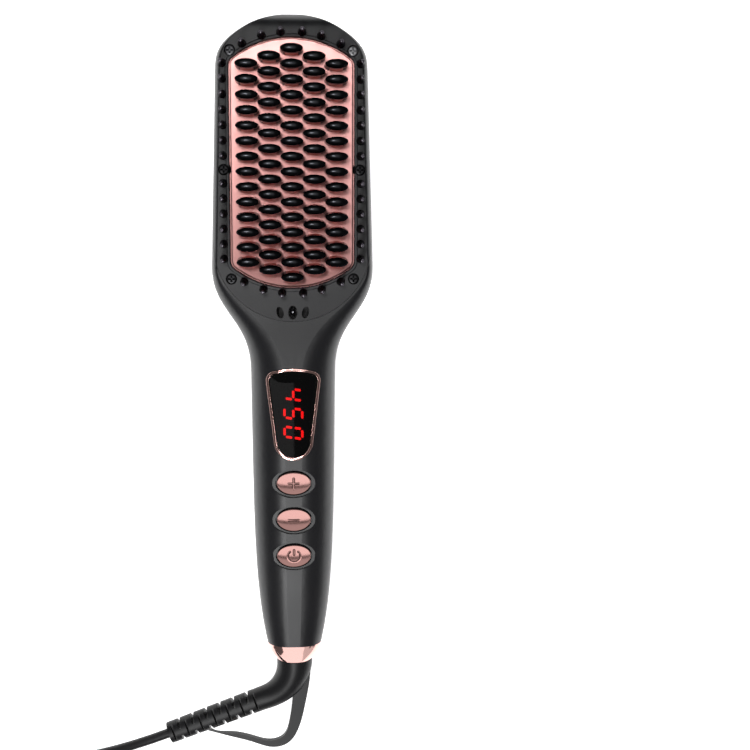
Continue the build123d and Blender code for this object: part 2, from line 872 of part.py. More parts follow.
def make_heater_stack():
    """Pieces under the plate, by name: heaters, mica, clamp, its screws, sensor, fuse, carrier, felt."""
    parts = {}
    heaters = []
    for side in (-1, 1):
        x = side * heater_spacing / 2
        heaters.append(slab((x - heater_width / 2, plate_centre_y - heater_length / 2, heater_low_z),
                            (x + heater_width / 2, plate_centre_y + heater_length / 2,
                             heater_low_z + heater_thickness)))
    parts["ceramic_heaters"] = Compound(children=heaters)
    half_length = clamp_length / 2
    mica_low = heater_low_z - stack_gap - mica_thickness
    parts["mica_sheet"] = slab((-mica_width / 2, plate_centre_y - half_length, mica_low),
                               (mica_width / 2, plate_centre_y + half_length, mica_low + mica_thickness))
    clamp = slab((-clamp_width / 2, plate_centre_y - half_length, clamp_top_z - clamp_thickness),
                 (clamp_width / 2, plate_centre_y + half_length, clamp_top_z))
    clamp = fillet(clamp.edges().filter_by(Axis.Z), clamp_thickness)
    clamp -= [post(x, y, clamp_screw_radius + screw_slack, 0, clamp_top_z) for x, y in clamp_screw_places()]
    parts["heater_clamp"] = clamp
    seat = clamp_top_z - clamp_thickness
    one = Rot(180, 0, 0) * screw(clamp_screw_head, clamp_head_height, clamp_screw_radius,
                                 clamp_thickness + clamp_screw_length - screw_slack)
    parts["clamp_screws"] = Compound(children=[Pos(x, y, seat) * one for x, y in clamp_screw_places()])
    sensor_y = plate_centre_y + thermistor_along
    sensor_z = plate_bottom_z - stack_gap / 2 - thermistor_radius
    parts["thermistor"] = rod(thermistor_radius, (0, sensor_y - thermistor_length / 2, sensor_z),
                              (0, sensor_y + thermistor_length / 2, sensor_z))
    fuse_z = seat - stack_gap - fuse_radius
    fuse_y = plate_centre_y - fuse_along
    parts["thermal_fuse"] = rod(fuse_radius, (-fuse_length / 2, fuse_y, fuse_z),
                                (fuse_length / 2, fuse_y, fuse_z))
    ring = prism(plate_outline(carrier_rest) - plate_outline(-carrier_width), heater_low_z,
                 heater_low_z + carrier_thickness)
    ring -= frame_screw_holes(screw_notch_radius, 0, body_length)
    low_end = plate_centre_y - plate_length / 2
    ring -= slab((-lead_slot_half, low_end - carrier_width, lead_z - lead_radius - lead_slot_gap),
                 (lead_slot_half, low_end + 2 * carrier_width, plate_bottom_z))
    parts["plate_carrier"] = ring
    parts["insulation_felt"] = slab((-felt_width / 2, plate_centre_y - felt_length / 2, floor_z + stack_gap),
                                    (felt_width / 2, plate_centre_y + felt_length / 2,
                                     floor_z + stack_gap + felt_thickness))
    return parts


def make_screws():
    """Screws of the front frame, the control board and the handle, by name."""
    frame_screw = screw(screw_head_radius, screw_head_height, screw_shank_radius, screw_length)
    board_screw = Rot(180, 0, 0) * screw(board_screw_head, board_head_height, board_screw_radius,
                                         board_thickness + board_screw_depth - screw_slack)
    board_low_z = board_top_z - board_thickness
    upturned = Rot(180, 0, 0) * frame_screw
    return {
        "bezel_screws": Compound(children=[Pos(x, y, seat_z) * frame_screw for x, y in frame_screw_places()]),
        "board_screws": Compound(children=[Pos(x, y, board_low_z) * board_screw
                                           for x, y in board_screw_places()]),
        "handle_screws": Compound(children=[Pos(side * handle_screw_half, handle_screw_y, handle_seat_z)
                                            * upturned for side in (-1, 1)]),
    }


def make_ion_parts():
    """Ion generator lying on the rear casing, and its emitter pin behind the middle vent."""
    box = slab((-ion_width / 2, ion_y - ion_length / 2, ion_low_z),
               (ion_width / 2, ion_y + ion_length / 2, ion_high_z))
    box = fillet(box.edges().filter_by(Axis.Z), emitter_radius)
    pin = post(0, vent_y, emitter_radius, ion_high_z, head_front_z - emitter_depth)
    pin = chamfer(pin.edges().group_by(Axis.Z)[-1], emitter_point)
    return {"ion_generator": box, "ion_emitter": pin}


def make_board_parts():
    """Control board with its switches, display module and power parts, by name."""
    low = board_top_z - board_thickness
    board = slab((-board_half_width, board_back_y, low), (board_half_width, board_front_y, board_top_z))
    board -= [post(x, y, board_screw_radius + screw_slack, 0, body_length) for x, y in board_screw_places()]
    switches = []
    for number in range(len(button_names)):
        switch = Pos(0, button_y(number), board_top_z + switch_height / 2) * Box(switch_size, switch_size,
                                                                                switch_height)
        switch -= post(0, button_y(number), plunger_radius + plunger_slack, plunger_floor_z, body_length)
        switches.append(switch)
    film = Pos(0, film_y, low - film_size[2] / 2) * Box(*film_size)
    film = fillet(film.edges().filter_by(Axis.Z), film_round)
    triac = Pos(0, triac_y, low - triac_size[2] / 2) * Box(*triac_size)
    drum_z = low - smoothing_radius
    drum = rod(smoothing_radius, (0, smoothing_y - smoothing_length / 2, drum_z),
               (0, smoothing_y + smoothing_length / 2, drum_z))
    module = slab((-module_width / 2, display_middle_y - module_length / 2, board_top_z),
                  (module_width / 2, display_middle_y + module_length / 2, module_top_z))
    return {"control_board": board, "tact_switches": Compound(children=switches), "film_capacitor": film,
            "triac": triac, "smoothing_capacitor": drum, "display_module": module}


def segment_bars(lit):
    """Bars of one seven segment figure that stand for the lit letters a to g."""
    across = digit_width / 2 - segment_width / 2
    rise = digit_height / 2 - segment_width / 2
    bar = segment_width
    long_side = rise - bar - segment_gap
    wide = 2 * across - bar - segment_gap
    places = {"a": (0, rise, wide, bar), "g": (0, 0, wide, bar), "d": (0, -rise, wide, bar),
              "b": (across, rise / 2, bar, long_side), "c": (across, -rise / 2, bar, long_side),
              "f": (-across, rise / 2, bar, long_side), "e": (-across, -rise / 2, bar, long_side)}
    lean = tan(radians(digit_slant))
    bars = []
    for letter in lit:
        u, v, length, height = places[letter]
        corners = [(u + i * length / 2, v + j * height / 2) for i, j in ((-1, -1), (1, -1), (1, 1), (-1, 1))]
        bars.append(make_face(Polyline(*[(a + b * lean, b) for a, b in corners], close=True)))
    return bars


def make_digits():
    """Lit figures on the display module, read from the head towards the cord."""
    bars = []
    for number, lit in enumerate(digit_segments):
        along = (number - (len(digit_segments) - 1) / 2) * digit_pitch
        for bar in segment_bars(lit):
            turned = Pos(0, display_middle_y - along) * Rot(0, 0, -90) * bar
            bars.append(prism(turned, module_top_z, module_top_z + segment_thickness))
    return Compound(children=bars)


def make_display_cover():
    """Display lens and the bright trim round it, both following the handle's curve."""
    lens = prism(display_outline(-fit_gap), seam_z, body_length) & (body(lens_inset)
                                                                    - body(lens_inset + lens_thickness))
    ring = prism(display_outline(trim_width) - display_outline(), seam_z, body_length)
    trim = ring & (body(-trim_proud) - body(lens_inset + lens_thickness))
    return {"display_lens": lens, "display_trim": trim}


def button_symbol(name):
    """Plan outline of the mark sunk into a button."""
    level_bar = Rectangle(symbol_length, symbol_line)
    if name == "minus":
        return level_bar
    if name == "plus":
        return level_bar + Rectangle(symbol_line, symbol_height)
    ring = Circle(power_ring_radius) - Circle(power_ring_radius - symbol_line)
    half = radians(power_gap_angle / 2)
    reach = 2 * power_ring_radius
    ring -= make_face(Polyline((0, 0), (reach * sin(half), reach * cos(half)),
                               (-reach * sin(half), reach * cos(half)), close=True))
    return ring + Pos(0, power_ring_radius - power_bar_length / 2) * Rectangle(symbol_line, power_bar_length)


def make_button(number):
    """Cap and plunger of one button."""
    name, y = button_names[number], button_y(number)
    top = front_z(y) + button_proud
    flange_low = front_z(y) - button_flange_depth
    cap = prism(Pos(0, y) * oval(button_length, button_width), flange_low, top)
    cap &= Pos(0, y, top - button_dome_radius) * Sphere(button_dome_radius)
    mark = Pos(0, y) * button_symbol(name)
    core = Pos(0, y, top - button_dome_radius) * Sphere(button_dome_radius - symbol_depth)
    cap -= prism(mark, flange_low + button_flange_thickness, top) - core
    flange = Pos(0, y) * oval(button_length, button_width, button_flange)
    cap += prism(flange, flange_low, flange_low + button_flange_thickness)
    plunger = post(0, y, plunger_radius, plunger_low_z, flange_low)
    return {name + "_button": cap, name + "_plunger": plunger}


def ring_between(outer_radius, inner_radius, start_y, stop_y):
    """A round ring about the swivel's axis, solid where the inner radius is zero."""
    ring = rod(outer_radius, (0, start_y, seam_z), (0, stop_y, seam_z))
    if inner_radius:
        ring -= rod(inner_radius, (0, start_y, seam_z), (0, stop_y, seam_z))
    return ring


def make_collar():
    """Bright collar at the handle's end, bored for the swivel's stem and flange."""
    faces = []
    for share in (0.0, 0.25, 0.5, 0.75, 1.0):
        ease = share ** collar_ease
        half = end_half_width + (collar_end_radius - end_half_width) * ease
        front = end_front_z + (seam_z + collar_end_radius - end_front_z) * ease
        back = end_back_z + (seam_z - collar_end_radius - end_back_z) * ease
        flat = end_half_width * handle_flat * (1 - ease) + collar_end_flat * ease
        faces.append(section(end_y - collar_length * share, half, front, back, flat, flat))
    collar = loft(faces)
    collar -= ring_between(stem_radius + swivel_slack, 0, end_y, tail_y)
    return collar - ring_between(flange_radius + fit_gap, 0, end_y, pocket_y)


def make_swivel():
    """Pieces of the swivel, by name, on the axis that runs along the handle."""
    hole = spindle_radius + swivel_slack
    spindle = ring_between(stem_radius, 0, flange_y - swivel_flange, stem_y)
    spindle += ring_between(flange_radius, 0, flange_y, flange_y - swivel_flange)
    spindle += ring_between(spindle_radius, 0, flange_y + spindle_length, flange_y)
    rings = [ring_between(ring_radius, spindle_radius, y, y + ring_width) for y in ring_faces]
    brushes = []
    for y in ring_faces:
        middle = y + ring_width / 2
        brushes.append(slab((-brush_width / 2, middle - brush_width / 2, brush_low_z),
                            (brush_width / 2, middle + brush_width / 2, brush_low_z + brush_length)))
    block = slab((-block_width / 2, block_back_y, brush_low_z + brush_length),
                 (block_width / 2, block_back_y + block_length, block_top_z))
    return {"collar_ring": make_collar(),
            "swivel_retainer": ring_between(retainer_radius, hole, end_y, retainer_in_y),
            "swivel_spindle": spindle, "slip_rings": Compound(children=rings),
            "brush_contacts": Compound(children=brushes), "contact_block": block}


def relief_point(distance, aside=0.0):
    """Point on the strain relief's sloping stretch, measured from its corner."""
    slope = radians(relief_slope)
    x = -distance * cos(slope) - aside * sin(slope)
    y = stem_y - elbow_corner - distance * sin(slope) + aside * cos(slope)
    return (x, y, seam_z)


def relief_cut(middle, near, far, near_width, far_width):
    """Plan outline of a cut into the sloping stretch, between two places beside its middle line."""
    corners = [relief_point(middle + sign * width / 2, aside)[:2]
               for sign, width, aside in ((-1, near_width, near), (1, near_width, near),
                                          (1, far_width, far), (-1, far_width, far))]
    return make_face(Polyline(*corners, close=True))


def make_ribs(start, end):
    """Ribbed stretch: notched at both sides between ribs, slotted in front and behind on each rib."""
    along = Vector(relief_point(end)) - Vector(relief_point(start))
    ribs = loft([Plane(origin=relief_point(distance), z_dir=along) * Circle(radius)
                 for distance, radius in ((start, rib_first_radius), (end, rib_last_radius))])
    mouth = rib_pitch - rib_length
    opening = notch_floor_width + (mouth - notch_floor_width) * 2
    far = notch_floor + (rib_first_radius - notch_floor) * 2
    for number in range(rib_count):
        middle = rib_start + number * rib_pitch
        slot = relief_cut(middle, -rib_first_radius, rib_first_radius, slot_width, slot_width)
        ribs -= prism(slot, seam_z + slot_floor, seam_z + elbow_radius)
        ribs -= prism(slot, seam_z - elbow_radius, seam_z - slot_floor)
        if number:
            for side in (-1, 1):
                notch = relief_cut(middle - rib_pitch / 2, side * notch_floor, side * far,
                                   notch_floor_width, opening)
                ribs -= prism(notch, seam_z - elbow_radius, seam_z + elbow_radius)
    return ribs


def make_relief():
    """Rubber strain relief: an elbow that tapers, a ribbed stretch, and a flat hanging loop."""
    rib_low = rib_start - rib_length / 2
    rib_high = rib_start + (rib_count - 1) * rib_pitch + rib_length / 2
    corner = (0, stem_y - elbow_corner, seam_z)
    path = FilletPolyline((0, stem_y, seam_z), corner, relief_point(rib_low), radius=elbow_bend)
    faces = []
    for share in elbow_shares:
        radius = elbow_radius + (rib_first_radius - elbow_radius) * smooth(share)
        faces.append(Plane(origin=path @ share, z_dir=path % share) * Circle(radius))
    relief = loft(faces) + make_ribs(rib_low, rib_high)
    outside = Spline(*loop_outer)
    inside = Spline(*loop_inner)
    band = make_face([outside, Line(outside @ 1, inside @ 0), inside, Line(inside @ 1, outside @ 0)])
    loop = prism(band, seam_z - loop_thickness / 2, seam_z + loop_thickness / 2)
    return relief + loop


def lead_route():
    """Points of the cord from the strain relief down to the floor and on to the coil."""
    end = rib_start + (rib_count - 1) * rib_pitch + rib_length / 2
    first, second, third = lead_runs
    start = relief_point(end)
    bend = relief_point(end + first)
    landing = relief_point(end + first + second)
    return [start, bend, (landing[0], landing[1], cord_z), (landing[0] - third, landing[1], cord_z)]


def coil_radius_middle():
    """Middle radius of the coil, so that the whole cord has its length."""
    straight = sum(lead_runs) + sum(tail_runs) + 2 * cord_diameter
    return (cord_length - straight) / (2 * pi * coil_turns)


def coil_point(turn):
    """Place of the coil's turns: rings spiral in and out and climb a layer where they reverse."""
    layer_turns = coil_turns / coil_layers
    reach = coil_pitch * layer_turns
    inward = 1 - abs((turn / layer_turns) % 2 - 1)
    radius = coil_radius_middle() + reach / 2 - reach * inward
    climbs = sum(smooth((turn - layer * layer_turns) * 2 + 0.5) for layer in range(1, coil_layers))
    angle = radians(coil_start_angle) + 2 * pi * turn
    centre_x, centre_y = coil_centre()
    return Vector(centre_x + radius * cos(angle), centre_y + radius * sin(angle),
                  cord_z + coil_rise * climbs)


def coil_centre():
    """Centre of the coil, below the end of the lead and one cord diameter past it."""
    end = lead_route()[-1]
    outer = coil_radius_middle() + coil_pitch * coil_turns / coil_layers / 2
    return end[0] - cord_diameter, end[1] - outer


def biarc(start, start_way, end, end_way):
    """Two arcs that join two points with the given directions."""
    across = end - start
    both = start_way + end_way
    square = 2 * start_way.dot(end_way) - 2
    middle = across.dot(both)
    reach = (middle - sqrt(middle * middle - square * across.dot(across))) / square
    left, right = start + start_way * reach, end - end_way * reach
    meeting = (left + right) * 0.5
    return [TangentArc(start, meeting, tangent=start_way), TangentArc(meeting, end, tangent=right - left)]


def coil_path():
    """The coil's centre line: quarter turns as pairs of arcs, with a straight run at each end."""
    steps = round(coil_turns * 4)
    turns = [step / 4 for step in range(steps + 1)]
    small = 0.001
    ways = [(coil_point(turn + small) - coil_point(turn - small)).normalized() for turn in turns]
    ways[0] = Vector(-1, 0, 0)
    ways[-1] = Vector(1, 0, 0)
    points = [coil_point(turn) for turn in turns]
    edges = [Line(points[0] - ways[0] * cord_diameter, points[0])]
    for number in range(steps):
        edges += biarc(points[number], ways[number], points[number + 1], ways[number + 1])
    edges.append(Line(points[-1], points[-1] + ways[-1] * cord_diameter))
    return edges


def least_self_gap(edges, samples=6):
    """Least clear gap between turns, measured on points along the centre line."""
    points = []
    length = 0.0
    for edge in edges:
        for step in range(samples):
            place = edge @ (step / samples)
            points.append((place.X, place.Y, place.Z, length + edge.length * step / samples))
        length += edge.length
    reach = pi * coil_radius_middle()
    least = min(sqrt((a[0] - b[0]) ** 2 + (a[1] - b[1]) ** 2 + (a[2] - b[2]) ** 2)
                for i, a in enumerate(points) for b in points[i + 1:] if b[3] - a[3] > reach)
    return least - cord_diameter


def tail_route():
    """Points of the cord from the coil's top down to the plug beside it."""
    start = coil_point(coil_turns) + Vector(cord_diameter, 0, 0)
    first, second, third = tail_runs
    plug_z = plug_thickness / 2 + cord_floor_gap
    x, plug_y = start.X + first, start.Y + plug_aside
    return [(start.X, start.Y, start.Z), (x, start.Y, start.Z), (x + second, plug_y, plug_z),
            (x + second + third, plug_y, plug_z)]


def make_cord():
    """The cord's lead, coil and tail as round wire, by name."""
    radius = cord_diameter / 2
    parts = {}
    for name, route in (("cord_lead", lead_route()), ("cord_tail", tail_route())):
        bends = bend_radii(route)
        solid = tube(route, radius, bends)
        ideal = FilletPolyline(*route, radius=bends).length * pi * radius ** 2
        print(name, "radii", [round(bend, 1) for bend in bends],
              "volume share", round(solid.volume / ideal, 4))
        parts[name] = solid
    edges = coil_path()
    path = Wire(edges)
    solid = sweep(Plane(origin=path @ 0, z_dir=path % 0) * Circle(radius), path=path)
    ideal = path.length * pi * radius ** 2
    print("cord_coil length", round(path.length, 1), "volume share", round(solid.volume / ideal, 4),
          "least gap", round(least_self_gap(edges), 3))
    parts["cord_coil"] = solid
    return parts


def make_plug():
    """Two bladed plug that lies beside the coil, and its blades."""
    start = Vector(*tail_route()[-1])
    nose_end = start + Vector(plug_nose_length, 0, 0)
    nose = loft([Plane(origin=start, z_dir=(1, 0, 0)) * Circle(plug_nose_tip),
                 Plane(origin=nose_end, z_dir=(1, 0, 0)) * Circle(plug_nose_radius)])
    for number in range(plug_rib_count):
        share = (number + 0.5) / plug_rib_count
        radius = plug_nose_tip + (plug_nose_radius - plug_nose_tip) * share + plug_rib_rise
        middle = start + Vector(plug_nose_length * share, 0, 0)
        half = Vector(plug_rib_width / 2, 0, 0)
        nose += rod(radius, tuple(middle - half), tuple(middle + half))
    centre = nose_end + Vector(plug_length / 2, 0, 0)
    block = Pos(*centre) * Box(plug_length, plug_width, plug_thickness)
    block = fillet(block.edges().filter_by(Axis.X), plug_round)
    block = fillet(block.faces().sort_by(Axis.X)[0].edges(), plug_end_round)
    blades = []
    for side in (-1, 1):
        high = centre + Vector(plug_length / 2 + (blade_length - blade_root) / 2, side * blade_spacing / 2, 0)
        blade = Pos(*high) * Box(blade_length + blade_root, blade_thickness, blade_width)
        tip = high + Vector(blade_length / 2 - blade_width / 2, 0, 0)
        eye = rod(blade_eye_radius, tuple(tip - Vector(0, blade_thickness, 0)),
                  tuple(tip + Vector(0, blade_thickness, 0)))
        corners = blade.edges().filter_by(Axis.Y).group_by(Axis.X)[-1]
        blades.append(chamfer(corners, blade_point) - eye)
    slot_low = (plug_length / 2 - blade_root, -blade_thickness / 2, -blade_width / 2)
    slot = slab(slot_low, (plug_length, blade_thickness / 2, blade_width / 2))
    block -= [Pos(*centre) * Pos(0, side * blade_spacing / 2, 0) * slot for side in (-1, 1)]
    return {"plug_body": nose + block, "plug_blades": Compound(children=blades)}


def make_leads():
    """Insulated leads inside the body, by name, each a pair of wires."""
    front = board_front_y
    low_end = plate_centre_y - plate_length / 2
    sensor_z = plate_bottom_z - stack_gap / 2 - thermistor_radius
    sensor_y = plate_centre_y + thermistor_along - thermistor_length / 2
    heater_y = plate_centre_y - heater_length / 2
    block_z = brush_low_z + brush_length + block_thickness / 2
    block_front = block_back_y + block_length
    near = front + ion_lead_reach
    routes = {
        "sensor_leads": (sensor_lead_radius, [(sensor_lead_half, sensor_y, sensor_z),
                                              (sensor_lead_half, plate_centre_y, sensor_z),
                                              (sensor_lead_x, heater_y, sensor_z),
                                              (sensor_lead_x, front, sensor_z)]),
        "heater_leads": (lead_radius, [(heater_spacing / 2, heater_y, lead_z),
                                       (heater_spacing / 2, heater_y - heater_width / 2, lead_z),
                                       (heater_lead_x, low_end, lead_z), (heater_lead_x, front, lead_z)]),
        "ion_leads": (lead_radius, [(ion_lead_x, front, lead_z), (ion_lead_x, near, lead_z),
                                    (ion_lead_x, near, ion_high_z)]),
        "mains_leads": (lead_radius, [(mains_lead_x, block_front, block_z),
                                      (mains_lead_x, block_front + mains_lead_reach, block_z),
                                      (mains_lead_x, board_back_y - mains_lead_reach, lead_z),
                                      (mains_lead_x, board_back_y, lead_z)]),
    }
    parts = {}
    for name, (radius, route) in routes.items():
        wire = tube(route, radius, bend_radii(route, lead_bend_share))
        parts[name] = Compound(children=[wire, mirror(wire, about=Plane.YZ)])
    return parts


def make_head(outer, inner):
    """Front frame, its nubs, heating plate, fins and tooth caps, by name."""
    parts = {"head_bezel": make_bezel(outer, inner), "rim_nubs": make_nubs(), "heating_plate": make_plate()}
    cap, fin = make_tooth_cap(), make_tooth_fin()
    fins = []
    for number, places in enumerate(tooth_places(), start=1):
        caps = [Pos(x, y, plate_top_z) * cap for x, y in places]
        parts["tooth_caps_column_" + str(number)] = Compound(children=caps)
        fins += [Pos(x, y, plate_top_z) * fin for x, y in places]
    parts["heat_fins"] = Compound(children=fins)
    return parts


def make_all():
    """Every sub-part, by name."""
    outer = body()
    inner = body(wall, end_y + wall)
    front, rear = make_shells(outer, inner)
    bore = ring_between(retainer_radius + fit_gap / 2, 0, end_y, retainer_in_y)
    parts = {"front_shell": dress_front_shell(front - bore, outer, inner),
             "rear_shell": dress_rear_shell(rear - bore, outer, inner)}
    parts.update(make_head(outer, inner))
    parts.update(make_heater_stack())
    parts.update(make_screws())
    parts.update(make_ion_parts())
    parts.update(make_board_parts())
    parts["display_digits"] = make_digits()
    parts.update(make_display_cover())
    for number in range(len(button_names)):
        parts.update(make_button(number))
    parts.update(make_swivel())
    parts["strain_relief"] = make_relief()
    parts.update(make_cord())
    parts.update(make_plug())
    parts.update(make_leads())
    return parts


os.makedirs("parts", exist_ok=True)
for name, shape in make_all().items():
    save(name, shape)
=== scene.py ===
"""Looks of a corded, heated hair straightening brush that lies on its back on a pale table."""

from __future__ import annotations

import logging
import math
from dataclasses import dataclass
from enum import Enum

import bmesh
import bpy
from mathutils import Matrix, Vector

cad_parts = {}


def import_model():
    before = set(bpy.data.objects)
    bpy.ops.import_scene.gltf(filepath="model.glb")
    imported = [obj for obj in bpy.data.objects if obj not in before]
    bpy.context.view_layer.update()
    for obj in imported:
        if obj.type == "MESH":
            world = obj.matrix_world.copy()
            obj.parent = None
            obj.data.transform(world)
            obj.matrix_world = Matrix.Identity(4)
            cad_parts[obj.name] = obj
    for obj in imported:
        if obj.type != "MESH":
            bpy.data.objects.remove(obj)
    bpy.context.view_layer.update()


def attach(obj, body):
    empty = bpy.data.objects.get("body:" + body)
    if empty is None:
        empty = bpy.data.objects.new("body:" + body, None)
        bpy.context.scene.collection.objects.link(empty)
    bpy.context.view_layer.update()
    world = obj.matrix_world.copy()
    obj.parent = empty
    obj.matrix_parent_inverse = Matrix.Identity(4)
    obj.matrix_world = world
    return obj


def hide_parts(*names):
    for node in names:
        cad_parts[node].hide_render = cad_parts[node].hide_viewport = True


MM = 0.001
LOG = logging.getLogger("brush")

Colour = tuple[float, float, float]
Point = tuple[float, float, float]
Line = list[tuple[float, float]]


class Body(Enum):
    """Moving bodies of the brush."""

    BRUSH = "brush"
    PLUS = "plus_key"
    MINUS = "minus_key"
    POWER = "power_key"
    SWIVEL = "cord_swivel"


class Slot(Enum):
    """Finish slots of the brush."""

    DARK_PLASTIC = "dark_plastic"
    BEZEL_PLASTIC = "bezel_plastic"
    TOOTH_PLASTIC = "tooth_plastic"
    COPPER_COAT = "copper_coat"
    COPPER_TRIM = "copper_trim"
    SMOKED_LENS = "smoked_lens"
    LIT_FIGURES = "lit_figures"
    WHITE_CERAMIC = "white_ceramic"
    MICA = "mica"
    STEEL = "steel"
    FELT = "felt"
    BOARD = "board"
    COMPONENT = "component"
    BRASS = "brass"
    RUBBER = "rubber"
    LEAD_SLEEVE = "lead_sleeve"


def placed(name: str, data: bpy.types.ID) -> bpy.types.Object:
    """Put a new object into the scene.

    Args:
        name: the object's name.
        data: its mesh, curve, lamp or camera.

    Returns:
        The object.
    """
    made = bpy.data.objects.new(name, data)
    bpy.context.scene.collection.objects.link(made)
    return made


def quarter(steps: int) -> list[float]:
    """Angles from none to a right angle, in even steps."""
    return [math.pi / 2 * step / steps for step in range(steps + 1)]


class NodeKit:
    """Short ways to add, fill and join nodes in one tree."""

    def __init__(self, tree: bpy.types.NodeTree) -> None:
        """Work on one tree."""
        self.tree = tree

    def add(self, kind: str, **values: object) -> bpy.types.Node:
        """Add a node and set its properties.

        Args:
            kind: Blender's name of the node's type.
            **values: properties of the node, by name.

        Returns:
            The new node.
        """
        node = self.tree.nodes.new(kind)
        for name, value in values.items():
            setattr(node, name, value)
        return node

    def join(self, start: bpy.types.NodeSocket, end: bpy.types.NodeSocket) -> None:
        """Join an output to an input."""
        self.tree.links.new(start, end)

    def wire(self, *wires: tuple[bpy.types.Node, str, bpy.types.Node, str]) -> None:
        """Join named outputs of nodes to named inputs of others."""
        for start, output, end, entry in wires:
            self.join(start.outputs[output], end.inputs[entry])

    @staticmethod
    def fill(node: bpy.types.Node, values: dict[str, object]) -> None:
        """Set inputs of a node by their names."""
        for name, value in values.items():
            node.inputs[name].default_value = value

    def math(self, operation: str, first: object, second: object = 0.0) -> bpy.types.NodeSocket:
        """Add a sum, product or other operation.

        Args:
            operation: the operation's name.
            first: a socket or a number.
            second: a socket or a number.

        Returns:
            The socket that holds the result.
        """
        node = self.add("ShaderNodeMath", operation=operation)
        for place, value in enumerate((first, second)):
            if isinstance(value, (int, float)):
                node.inputs[place].default_value = value
            else:
                self.join(value, node.inputs[place])
        return node.outputs[0]


class SurfaceGrain:
    """Shader group shared by the finishes: fine grain, and soft mottling of colour and gloss."""

    NAME = "surface_grain"
    MOTTLE_DETAIL = 3.0
    GRAIN_DETAIL = 2.0

    @classmethod
    def group(cls) -> bpy.types.NodeTree:
        """Build the group once and give it.

        Returns:
            The shader node group.
        """
        found = bpy.data.node_groups.get(cls.NAME)
        if found:
            return found
        tree = bpy.data.node_groups.new(cls.NAME, "ShaderNodeTree")
        for name in ("Grain Scale", "Mottle Scale", "Rough", "Rough Spread", "Colour Spread"):
            tree.interface.new_socket(name, in_out="INPUT", socket_type="NodeSocketFloat")
        tree.interface.new_socket("Colour", in_out="INPUT", socket_type="NodeSocketColor")
        for name, kind in (("Colour", "Color"), ("Roughness", "Float"), ("Height", "Float")):
            tree.interface.new_socket(name, in_out="OUTPUT", socket_type="NodeSocket" + kind)
        kit = NodeKit(tree)
        given, result = kit.add("NodeGroupInput"), kit.add("NodeGroupOutput")
        place = kit.add("ShaderNodeTexCoord")
        grain, mottle = kit.add("ShaderNodeTexNoise"), kit.add("ShaderNodeTexNoise")
        for noise, scale, detail in ((grain, "Grain Scale", cls.GRAIN_DETAIL),
                                     (mottle, "Mottle Scale", cls.MOTTLE_DETAIL)):
            kit.fill(noise, {"Detail": detail})
            kit.wire((place, "Object", noise, "Vector"), (given, scale, noise, "Scale"))
        swing = kit.math("MULTIPLY", kit.math("SUBTRACT", mottle.outputs["Fac"], 0.5), 2.0)
        rough = kit.math("MULTIPLY", swing, given.outputs["Rough Spread"])
        rough = kit.math("ADD", rough, given.outputs["Rough"])
        tint = kit.math("MULTIPLY", swing, given.outputs["Colour Spread"])
        tint = kit.math("ADD", tint, 1.0)
        tinted = kit.add("ShaderNodeVectorMath", operation="SCALE")
        kit.join(tint, tinted.inputs["Scale"])
        kit.join(rough, result.inputs["Roughness"])
        kit.wire((given, "Colour", tinted, "Vector"), (tinted, "Vector", result, "Colour"),
                 (grain, "Fac", result, "Height"))
        return tree


@dataclass(frozen=True)
class Finish:
    """A surface finish: colour, gloss and grain, with a material made from it once."""

    name: str
    slot: Slot
    colour: Colour
    rough: float = 0.4
    rough_spread: float = 0.04
    colour_spread: float = 0.08
    grain_scale: float = 1400.0
    mottle_scale: float = 45.0
    bump_mm: float = 0.01
    metallic: float = 0.0
    specular: float = 0.5
    edge_tint: float = 1.0
    coat: float = 0.0
    coat_rough: float = 0.1
    refraction: float = 1.46
    alpha: float = 1.0
    glow: float = 0.0

    def material(self) -> bpy.types.Material:
        """Make the finish's material, or give the one made before.

        Returns:
            The material.
        """
        found = bpy.data.materials.get(self.name)
        if found:
            return found
        material = bpy.data.materials.new(self.name)
        material.use_nodes = True
        kit = NodeKit(material.node_tree)
        shader = material.node_tree.nodes["Principled BSDF"]
        grain = kit.add("ShaderNodeGroup", node_tree=SurfaceGrain.group())
        kit.fill(grain, {"Grain Scale": self.grain_scale, "Mottle Scale": self.mottle_scale,
                         "Rough": self.rough, "Rough Spread": self.rough_spread,
                         "Colour": (*self.colour, 1.0), "Colour Spread": self.colour_spread})
        bump = kit.add("ShaderNodeBump")
        kit.fill(bump, {"Strength": 1.0, "Distance": self.bump_mm * MM})
        kit.wire((grain, "Height", bump, "Height"), (grain, "Colour", shader, "Base Color"),
                 (grain, "Roughness", shader, "Roughness"), (bump, "Normal", shader, "Normal"))
        kit.fill(shader, {"Metallic": self.metallic, "Specular IOR Level": self.specular,
                          "Specular Tint": (*(self.edge_tint,) * 3, 1.0), "IOR": self.refraction,
                          "Coat Weight": self.coat, "Coat Roughness": self.coat_rough, "Alpha": self.alpha})
        if self.glow:
            kit.fill(shader, {"Emission Color": (*self.colour, 1.0), "Emission Strength": self.glow})
        return material

    def dress(self, *nodes: str) -> None:
        """Give this finish to solids that keep their own mesh.

        Args:
            *nodes: names of the solids.
        """
        for name in nodes:
            for place in bpy.data.objects[name].material_slots:
                place.material = self.material()
            LOG.info("%s: %s", name, self.name)


